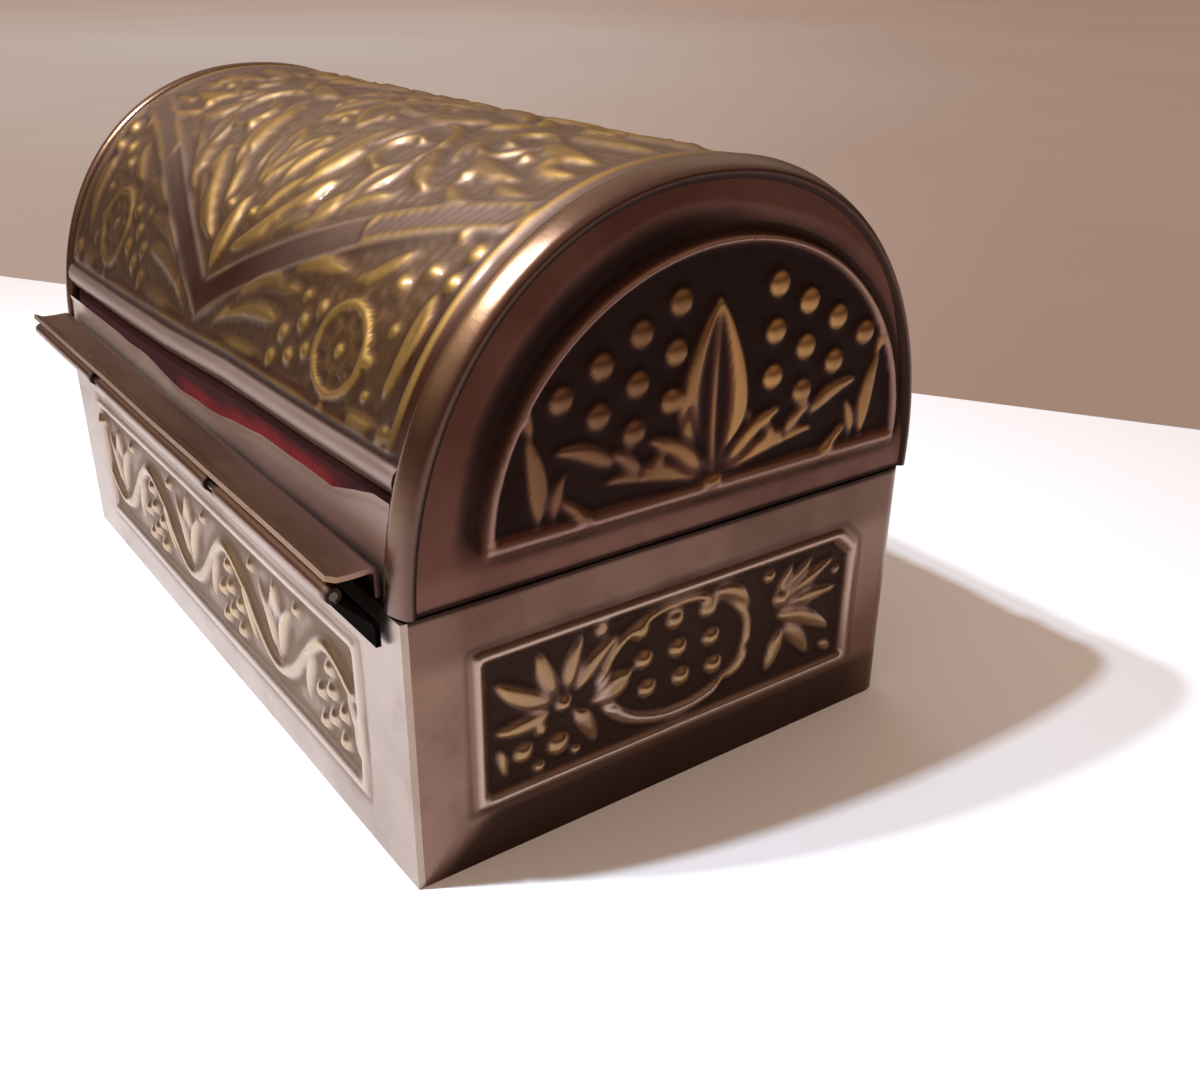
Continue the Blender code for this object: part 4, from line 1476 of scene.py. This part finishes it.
    def _pad(self, half_length: float, half_width: float) -> None:
        """The crowned velvet pad on the floor.

        Args:
            half_length: Half its length.
            half_width: Half its width.
        """
        across, along = np.meshgrid(np.linspace(-1, 1, 73), np.linspace(-1, 1, 45), indexing="ij")
        near = np.minimum((1 - np.abs(across)) * half_length, (1 - np.abs(along)) * half_width)
        x = across * (half_length - 0.5 * (1 - along**2))
        y = along * (half_width - 0.5 * (1 - across**2))
        crown = smooth(0, 3.5, near) + 0.5 * (1 - across**4) * (1 - along**4)
        top = self.lining_foot + 0.6 + crown + 0.10 * waver(x, y, 22, 31) * smooth(0, 4, near)
        front = np.stack([x, y, top], -1)
        back = np.stack([x, y, np.full(x.shape, self.lining_foot)], -1)
        piece = sheet_piece("velvet_pad", front, back, {})
        settle(piece, "base", self.finishes.velvet, "base_floor_pad")


# The lid


@dataclass
class Lid:
    """The lid: its dome, bands, gables, mouldings and lining.

    A run is a line of (place along the lid, height) points, and the mouldings' profile is a line
    of (distance from the lid's end, distance inside the arch) points.
    """

    finishes: Finishes
    dome_inset: float = 0.5
    sheet: float = 0.6
    dome_depth: float = 0.34
    dome_highest: float = 0.52
    hem_place: float = 0.9
    hem_radius: float = 1.0
    hem_height: float = 0.4
    fold_place: float = 2.3
    fold_width: float = 0.45
    fold_depth: float = 0.2
    rim_width: float = 3.2
    rim_depth: float = 1.6
    joint: float = 0.05
    gable_recess: float = 0.35
    gable_depth: float = 0.30
    gable_sheet: float = 0.75
    cove_depth: float = 0.5
    lining_foot: float = 28.3
    gap: float = 0.3
    card: float = 1.0
    mean_height: float = 45.0
    share_length: float = 50.0
    edge_height: float = 37.2
    edge_run: Path = ((-47, 1.1), (-30, 0.6), (-10, 0.3), (8, -0.7), (24, -1.1), (47, -1.3))
    band_run: Path = (
        (-47, 37.1), (-43.5, 36.3), (-39, 35.1), (-22, 34.9), (-6, 33.3), (5, 33.0), (14, 33.8), (47, 33.9),
    )
    front_run: Path = ((-47, 34.4), (47, 34.4))
    rim_profile: Path = (
        (0.95, 2.2), (0.35, 1.8), (0.05, 1.4), (0.0, 1.1), (0.12, 0.86), (0.3, 0.68), (0.55, 0.54), (0.9, 0.40),
        (1.3, 0.26), (1.7, 0.14), (2.05, 0.05), (2.35, 0.0), (2.6, 0.02), (2.85, 0.12), (3.05, 0.32), (3.15, 0.6),
        (3.2, 1.0), (3.2, 1.9),
    )
    step: float = 0.29

    def build(self) -> None:
        """Builds every piece of the lid."""
        self._dome()
        self._band("back", 1, self.band_run)
        self._band("front", -1, self.front_run)
        for name, side in (("near", -1), ("far", 1)):
            self._gable(name, side)
            self._rim(name, side)
        self._arch_lining()
        for name, side in (("near", -1), ("far", 1)):
            self._gable_lining(name, side)

    def _arched(self, along: Array, distance: Array, inset: float, height: Array, set_back: float) -> Array:
        """Places on the arch.

        Args:
            along: Places along the lid, as shares from -1 to 1 of its length.
            distance: Distances from the crown.
            inset: How far inside the lid's outer surface the sheet lies.
            height: How far the place stands out of the sheet.
            set_back: How far the sheet stops short of the lid's end.

        Returns:
            The places, in millimetres.
        """
        y, z, across, up = LID.at(distance, inset)
        y = y + across * height
        z = z + up * height
        return np.stack([along * (LID.end(z) - set_back), y, z], -1)

    def _arched_sheet(self, along: Array, distance: Array, height: Array) -> tuple[Array, Array]:
        """The front and the back of a sheet between the mouldings.

        Args:
            along: Places along the lid, as shares from -1 to 1 of its length.
            distance: Distances from the crown.
            height: How far its front stands out at each place.

        Returns:
            The two grids of places.
        """
        set_back = self.rim_width + self.joint
        front = self._arched(along, distance, self.dome_inset, height, set_back)
        return front, self._arched(along, distance, self.dome_inset + self.sheet, height * 0, set_back)

    def _dome(self) -> None:
        """The embossed sheet over the crown."""
        edge = LID.distance_at(self.edge_height, self.dome_inset)
        half = float(LID.end(self.mean_height)) - self.rim_width - self.joint
        shares = np.linspace(-1, 1, int(2 * half / self.step) + 1)
        distances = np.linspace(-edge, edge, int(2 * edge / self.step) + 1)
        along, distance = np.meshgrid(shares, distances)
        run, from_crown = along * half, np.abs(distance)
        relief = Relief(run, distance)
        DomeField().draw(relief)
        uneven = 0.10 * waver(run, distance, 40, 12) * smooth(0, 8, half - np.abs(run))
        above_edge = edge - from_crown
        hem = np.sqrt(np.clip(1 - ((above_edge - self.hem_place) / self.hem_radius) ** 2, 0, 1))
        fold = np.exp(-(((above_edge - self.fold_place) / self.fold_width) ** 2))
        height = np.minimum(relief.heights(self.dome_depth) + uneven, self.dome_highest)
        height = height + self.hem_height * hem - self.fold_depth * fold
        lower = 0.3 * waver(run, distance * 0, 60, 14)
        lower = np.where(distance > 0, -np.interp(run, *np.transpose(self.edge_run)), lower)
        spread = distance + np.sign(distance) * lower * smooth(edge - 9, edge, from_crown)
        marks = relief.marks(height, 0.35, 0.25)
        # Painted shade on the lower dome, in place of a dark reflection: lower down its bare ground and hollows are
        # darker, and the whole sheet darkens further
        low = smooth(22, 32, from_crown)
        ground = 0.6 * low * relief.bare_ground(relief.raised)
        marks["sunk_and_painted_shade"] = np.maximum.reduce([marks["sunk_and_painted_shade"] * (0.6 + 0.4 * low), ground, 0.8 * fold])
        marks["painted_shade"] = smooth(16, 30, from_crown)
        marks["pale"] = np.maximum(marks["pale"], hem)
        piece = sheet_piece("dome_sheet", *self._arched_sheet(along, spread, height), marks, back_columns=13)
        settle(piece, "lid", self.finishes.dome, "lid_dome")

    def _band(self, name: str, side: int, upper: Path) -> None:
        """A plain band under the dome, whose upper edge is bent unevenly.

        Args:
            name: The side's name.
            side: 1 for the back and -1 for the front.
            upper: The run of its upper edge.
        """
        foot = LID.reach(self.dome_inset)
        along, drop = np.meshgrid(np.linspace(-1, 1, 181), np.linspace(0, 1, 25))
        run = along * self.share_length
        places, heights = np.transpose(upper)
        tops = np.array([LID.distance_at(z, self.dome_inset) for z in heights])
        top = np.interp(run, places, tops) + 0.15 * waver(run, drop * 0, 14, 17)
        distance = side * (top + (foot - top) * drop)
        out = 0.10 * waver(run, drop * 8, 24, 23) + 0.25 * smooth(0.12, 0.0, drop)
        # Painted light and shade on the band: a painted highlight makes its upper part pale, more towards the far end,
        # and painted shade darkens its lower part
        marks = {
            "pale": smooth(0.75, 0.25, drop) * (0.25 + 0.6 * smooth(-30, 5, run)),
            "painted_shade": smooth(0.45, 0.8, drop) * 0.8,
            "sunk_and_painted_shade": 0 * drop,
        }
        piece = sheet_piece("band_" + name, *self._arched_sheet(along, distance, out), marks, back_columns=61)
        settle(piece, "lid", self.finishes.band, "lid_band_" + name)

    def _gable_grid(self, inset: float, foot: float, rows: int, columns: int) -> Array:
        """(share, across, z) over the arch's end.

        Args:
            inset: How far inside the lid's outer surface the arch lies.
            foot: The height of its lower edge.
            rows: How many rows it has.
            columns: How many columns it has.

        Returns:
            The shares from -1 to 1 of the arch's width, the places across and the heights.
        """
        arch = LID.rows(inset)
        reach = LID.distance_at(foot, inset)
        heights = np.interp(np.linspace(0, reach, rows)[::-1], arch[0], arch[2])
        share, z = np.meshgrid(np.linspace(-1, 1, columns), heights)
        return np.stack([share, share * LID.half_width_at(z, inset), z])

    def _gable(self, name: str, side: int) -> None:
        """The half-round plate at one end, with a cove round its lunette.

        Args:
            name: The end's name.
            side: -1 for the near end and 1 for the far one.
        """
        _, across, z = self._gable_grid(self.rim_depth - 0.1, LID.bottom, 190, 241)
        relief = Relief(across, z)
        lunette = Lunette()
        lunette.draw(relief)
        reach = np.hypot((across - lunette.centre) / lunette.half_width, (z - lunette.sill) / lunette.height)
        hinge_side = smooth(10, -6, across) * (1 - 0.35 * smooth(46, 36, z))
        outer = 1.12 + 0.07 * hinge_side
        cove = smooth(outer, outer - 0.09, reach) * smooth(1.01, 1.04, reach) * smooth(29.8, 35.0, z)
        height = relief.heights(self.gable_depth) - self.cove_depth * cove + 0.06 * waver(across, z, 40, 25)
        marks = relief.marks(height)
        # Painted shade in the cove, stronger on the hinge side, and along the gable's lowest edge at the seam
        shade = np.maximum(cove * (0.55 + 0.45 * hinge_side), smooth(28.4, 28.05, z))
        marks["sunk_and_painted_shade"] = np.maximum(marks["sunk_and_painted_shade"], shade)
        # Painted shade over the whole plate, stronger above the sill
        marks["painted_shade"] = 0.45 + 0.45 * smooth(29.4, 32.0, z)
        # Less gold on the hinge side: the gold on the front side is partly a painted highlight
        marks["worn_and_painted_highlight"] *= 1 - 0.7 * smooth(8, -8, across)
        face = LID.end(z) - self.gable_recess
        front = np.stack([side * (face + height), side * across, z], -1)
        back = np.stack([side * (face - self.gable_sheet), side * across, z], -1)
        piece = sheet_piece("gable_" + name, front, back, marks)
        settle(piece, "lid", self.finishes.gable, "lid_gable_" + name)

    def _rim(self, name: str, side: int) -> None:
        """The moulding round one end.

        Args:
            name: The end's name.
            side: -1 for the near end and 1 for the far one.
        """
        in_from_end, inset = np.transpose(self.rim_profile)
        distance = np.linspace(-LID.reach(0), LID.reach(0), 221)[:, None]
        y, z, across, up = LID.at(distance, 0)
        uneven = 0.10 * waver(distance, distance * 0, 34, 27)
        deep = np.maximum(inset + uneven * smooth(1.6, 0.3, inset), 0)
        height = z - up * deep
        rings = np.stack([side * (LID.end(height) - in_from_end), y - across * deep, height], -1)
        # The crest's gold is wear and a painted highlight, brighter up the sides and dimmer at the crown. Painted shade
        # darkens the rim's deep sides against the gable and the dome, the lower rim and the crown.
        high, crown = smooth(30, 44, height), smooth(52, 60, height)
        marks = {
            "worn_and_painted_highlight": smooth(0.8, 0.1, inset) * (0.35 + 0.65 * high) * (1 - 0.6 * crown),
            "sunk_and_painted_shade": smooth(1.05, 1.45, inset) + 0 * height,
            "painted_shade": 0.6 - 0.6 * high + 0.5 * crown,
        }
        piece = swept_piece("rim_" + name, rings, marks)
        settle(piece, "lid", self.finishes.moulding, "lid_rim_" + name)

    def _arch_lining(self) -> None:
        """The velvet under the dome, whose edge shows above the back band."""
        inset = self.dome_inset + self.sheet + self.gap
        reach = LID.distance_at(self.lining_foot, inset)
        along, distance = np.meshgrid(np.linspace(-1, 1, 81), np.linspace(-reach, reach, 121))
        run = along * self.share_length
        puff = 0.06 * (1 + waver(run, distance, 16, 33))
        outer = self._arched(along, distance, inset, puff * 0, self.rim_width + self.gap)
        inner = self._arched(along, distance, inset + self.card, puff, self.rim_width + self.gap)
        above_band = LID.at(distance, inset)[1] - np.interp(run, *np.transpose(self.band_run))
        # Painted shadow on the velvet seen in the back gap, up to about 6 mm above the band's edge: all of it at the
        # near end and over the far half, elsewhere all but a thin strip at the edge
        shade = np.maximum(smooth(-35, -41, run), smooth(2, 9, run))
        shade = np.maximum(shade, smooth(-0.1, 0.6, above_band)) * smooth(6, 4, above_band) * (distance > 0)
        piece = sheet_piece("velvet_arch", outer, inner, {"painted_shade_tone": shade}, back_columns=along.shape[1])
        settle(piece, "lid", self.finishes.velvet, "lid_lining_arch")
        width = 2 * float(LID.end(self.mean_height) - self.rim_width - self.gap) * MM

    def _gable_lining(self, name: str, side: int) -> None:
        """The velvet on one gable.

        Args:
            name: The end's name.
            side: -1 for the near end and 1 for the far one.
        """
        inset, foot = self.rim_depth + self.gap, self.lining_foot
        share, across, z = self._gable_grid(inset, foot, 50, 61)
        half_width = LID.half_width_at(z, inset)
        near = (1 - np.abs(share)) * np.maximum(half_width, 1)
        outside = LID.end(z) - self.gable_recess - 0.7 - self.gap
        inside = outside - 0.6 - 0.35 * smooth(0, 1.5, np.minimum(near, z - foot))
        front = np.stack([side * inside, across, z], -1)
        back = np.stack([side * outside, across, z], -1)
        piece = sheet_piece("velvet_gable_" + name, front, back, {})
        settle(piece, "lid", self.finishes.velvet, "lid_lining_" + name)
        heights, widths = z[:, 0], 2 * half_width[:, 0]
        outline = float(np.abs((widths[1:] + widths[:-1]) / 2 * np.diff(heights)).sum())


# The hinge


@dataclass
class Hinge:
    """The hinge on the back: two bent strips, three tubes and the wire through them."""

    finishes: Finishes
    y: float = 34.1
    z: float = 30.1
    radius: float = 0.8
    bore: float = 0.48
    half_length: float = 45.9
    middle: float = 18.1
    notch: float = 2.2
    strip: float = 0.5
    gap: float = 0.3
    lid_wall: float = 29.7
    base_wall: float = 30.0
    lip: float = 0.6
    lip_waves: float = 0.14
    bracket_foot: float = 24.2
    bracket_bend: float = 26.4

    def build(self) -> None:
        """Builds every piece of the hinge."""
        self._hood()
        self._bracket()
        start = self.middle + self.notch
        self._tube("near", "lid", -self.half_length, -start)
        self._tube("middle", "base", -self.middle, self.middle)
        self._tube("far", "lid", start, self.half_length)
        refinish("hinge_pin", self.finishes.wire)

    def _strip(self, name: str, path: Array, crest: Array, waves: float = 0.0) -> bpy.types.Object:
        """A bent strip of sheet.

        Args:
            name: The piece's name.
            path: Its middle line, as (y, z) points that end at its free edge.
            crest: How worn it is at each of these points.
            waves: How far its free edge wavers.

        Returns:
            The new object.
        """
        along = np.linspace(-self.half_length, self.half_length, 161)[:, None]
        step = np.gradient(path, axis=0)
        step /= np.hypot(*step.T)[:, None]
        square = np.stack([-step[:, 1], step[:, 0]], 1) * self.strip / 2
        y, z = np.concatenate([path + square, (path - square)[::-1]]).T
        share = np.linspace(0, 1, len(path))
        free = smooth(0.3, 1.0, np.concatenate([share, share[::-1]]))
        uneven = waves * (1 + waver(along, along * 0, 52, 41))
        rings = np.stack([along + 0 * y, y + 0 * along, z + uneven * free], -1)
        return swept_piece(name, rings, {"worn_and_painted_highlight": np.concatenate([crest, crest[::-1]]) + 0 * along})

    def _hood(self) -> None:
        """The lid's strip, bent out over the tubes and turned up a little at its edge."""
        top = self.z + self.radius + self.gap + self.strip / 2
        wall = self.lid_wall + self.gap + self.strip / 2
        foot = np.stack([np.full(8, wall), np.linspace(top - 2.6, top - 0.55, 8)], 1)
        bend = arc((wall + 0.5, top - 0.5), (0.5, 0.5), 180, 90, 8)
        share = np.linspace(0, 1, 14)
        shelf_y = np.linspace(wall + 0.6, self.y + self.lip, 14)
        shelf_z = top - 0.10 * np.sin(share * math.pi) + 0.35 * smooth(0.72, 1.0, share)
        path = np.concatenate([foot, bend, np.stack([shelf_y, shelf_z], 1)])
        crest = np.concatenate([np.zeros(len(path) - 12), np.linspace(0.1, 1.0, 12)])
        piece = self._strip("hood_strip", path, crest, self.lip_waves)
        settle(piece, "lid", self.finishes.plain, "hinge_lid_strip")

    def _bracket(self) -> None:
        """The base's strip, bent out to the middle tube."""
        wall = self.base_wall + self.gap + self.strip / 2
        wire, bend = np.array([self.y, self.z]), np.array([wall, self.bracket_bend])
        out = wire - bend
        end = wire - out / np.hypot(*out) * (self.radius + self.gap)
        foot = np.stack([np.full(6, wall), np.linspace(self.bracket_foot, self.bracket_bend - 0.3, 6)], 1)
        path = np.concatenate([foot, bend + (end - bend) * np.linspace(0.1, 1, 9)[:, None]])
        piece = self._strip("bracket_strip", path, np.linspace(0.2, 0.5, len(path)))
        # The strip is painted near-black, as a painted shadow for the hollow between it and the hood
        settle(piece, "base", self.finishes.hollow_shadow, "hinge_base_strip")

    def _tube(self, name: str, body: str, start: float, end: float) -> None:
        """One tube, rolled from sheet, with its seam underneath.

        Args:
            name: Its place in the row of tubes.
            body: The body it moves with.
            start: Where it starts along the wire.
            end: Where it ends.
        """
        turns = np.radians(np.linspace(-86, 258, 30))
        round_wire = np.stack([np.cos(turns), np.sin(turns)])
        y, z = np.concatenate([round_wire * self.radius, round_wire[:, ::-1] * self.bore], axis=1)
        inside = np.repeat([0.0, 1.0], len(turns))
        along = np.linspace(start, end, 40)[:, None]
        to_end = np.minimum(along - start, end - along)
        soft = 1 - 0.10 * smooth(0.8, 0.0, to_end)
        rings = np.stack([along + 0 * y, self.y + y * soft, self.z + z * soft], -1)
        # Painted shade inside the bore and on the tube's ends
        marks = {
            "worn_and_painted_highlight": 0.5 * (1 - inside) + 0 * along,
            "sunk_and_painted_shade": np.maximum(inside, smooth(0.9, 0.3, to_end)),
        }
        piece = swept_piece("tube_" + name, rings, marks)
        settle(piece, body, self.finishes.plain, "hinge_knuckle_" + name)


# The studio


@dataclass
class Studio:
    """The floor, the soft lamps and the camera at the photograph's viewing angle.

    The floor's sizes are in millimetres, and the places of the camera and the lamps in metres.
    """

    lens: float = 37.15
    sensor: float = 36.0
    azimuth: float = 234.173
    elevation: float = 26.107
    roll: float = 0.425
    place: tuple[float, float, float] = (-0.128957, 0.067798, 0.077561)
    aim: tuple[float, float, float] = (0, 0, 0.025)
    sheet_edge: Path = ((211.3, 9.5, 0), (-23.8, -139.1, 0))
    sheet_beyond: tuple[float, float] = (300, 420)
    sheet_depth: float = 560
    ground_drop: float = 680

    def build(self) -> None:
        """Builds the floor, the lamps, the world and the camera."""
        self._floor()
        self._lamps()
        self._world()
        self._camera()
        bpy.context.scene.view_settings.view_transform = "Standard"

    def _floor(self) -> None:
        """A white sheet that lies over a wide beige floor."""
        start, end = (Vector(point) for point in self.sheet_edge)
        way = (end - start).normalized()
        deep = Vector((way.y, -way.x, 0)) * self.sheet_depth
        start, end = start - way * self.sheet_beyond[0], end + way * self.sheet_beyond[1]
        corners = np.array([tuple(corner) for corner in (start, end, end + deep, start + deep)])
        sheet = make_piece("floor_sheet", corners, [[0, 1, 2, 3]], {})
        sheet.data.materials.append(Matt("floor_white", (0.83, 0.81, 0.82), (0.79, 0.77, 0.79)).make())
        turns, reach = np.meshgrid(np.radians(np.linspace(0, 360, 145)), np.geomspace(10, 40000, 9), indexing="ij")
        places = np.stack([reach * np.cos(turns), reach * np.sin(turns), 0 * turns - self.ground_drop], -1)
        # Painted shade on the backdrop floor: darker all round except for a lighter sector on one side
        painted_shade_tone = smooth(28, 58, np.degrees(math.tau - turns))
        ground = make_piece("floor_beige", places.reshape(-1, 3), grid_faces(*turns.shape, turned=True), {"painted_shade_tone": painted_shade_tone})
        ground.data.materials.append(Matt("floor_beige", (0.78, 0.72, 0.74), (0.58, 0.47, 0.44), 3.0).make())
        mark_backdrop(sheet, ground)

    def _lamp(self, name: str, place: Sequence[float], size: float, power: float, colour: Colour) -> bpy.types.Object:
        """A square soft lamp that faces the box.

        Args:
            name: Its name.
            place: Where it stands.
            size: The length of its sides, in metres.
            power: Its power, in watts.
            colour: The colour of its light.

        Returns:
            The lamp.
        """
        lamp = bpy.data.lights.new(name, "AREA")
        lamp.shape = "SQUARE"
        lamp.size = size
        lamp.energy = power
        lamp.color = colour
        made = bpy.data.objects.new(name, lamp)
        bpy.context.scene.collection.objects.link(made)
        made.location = place
        made.rotation_euler = (Vector(self.aim) - Vector(place)).to_track_quat("-Z", "Y").to_euler()
        return made

    def _lamps(self) -> None:
        """Two small lamps over the hinge side, one above the other, and a far one for the ground."""
        self._lamp("low_lamp", (-0.0192, 0.0841, 0.2068), 0.006, 0.45, (0.74, 0.86, 1.0))
        self._lamp("high_lamp", (0.0473, 0.1895, 0.3299), 0.012, 1.15, (0.84, 0.92, 1.0))
        ground_lamp = self._lamp("far_lamp", (9.5, -3.5, 6.8), 5.0, 120.0, (0.45, 0.88, 1.0))
        ground_lamp.rotation_euler = (0, 0, 0)
        ground_lamp.visible_glossy = False

    def _world(self) -> None:
        """A warm room: light overhead and dark round about."""
        world = bpy.data.worlds.new("surround")
        paint = Paint(world, "Generated")
        colour = paint.mixed(paint.height().rise(0.05, 0.72), (0.10, 0.055, 0.04), (0.69, 0.51, 0.39))
        background = paint.node("ShaderNodeBackground", {}, {"Color": colour})
        paint.node("ShaderNodeOutputWorld", {}, {"Surface": background.outputs[0]})
        bpy.context.scene.world = world

    def _camera(self) -> None:
        """The camera, tilted a little as it was held."""
        azimuth, elevation, roll = (math.radians(v) for v in (self.azimuth, self.elevation, self.roll))
        flat = math.cos(elevation)
        back = Vector((math.sin(azimuth) * flat, -math.cos(azimuth) * flat, math.sin(elevation)))
        right = (-back).cross(Vector((0, 0, 1))).normalized()
        up = right.cross(-back)
        tilted_right = right * math.cos(roll) + up * math.sin(roll)
        tilted_up = up * math.cos(roll) - right * math.sin(roll)
        data = bpy.data.cameras.new("camera")
        data.lens = self.lens
        data.sensor_width = self.sensor
        data.clip_start = 0.005
        camera = bpy.data.objects.new("camera", data)
        bpy.context.scene.collection.objects.link(camera)
        turn = Matrix((tilted_right, tilted_up, back)).transposed().to_4x4()
        camera.matrix_world = Matrix.Translation(Vector(self.place)) @ turn
        bpy.context.scene.camera = camera


def report_sizes() -> None:
    """Works out the CAD model's box and the dressed model's box, and keeps neither."""
    boxes = {"cad": cad_box, "visual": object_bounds()}
    {key: [list(corner) for corner in box] for key, box in boxes.items()}


def main() -> None:
    """Builds the box and its studio, in order."""
    logging.basicConfig(level=logging.INFO, format="%(name)s: %(message)s")
    finishes = Finishes()
    for part in (Base(finishes), Lid(finishes), Hinge(finishes)):
        part.build()
    Studio().build()
    report_sizes()


if __name__ == "__main__":
    main()
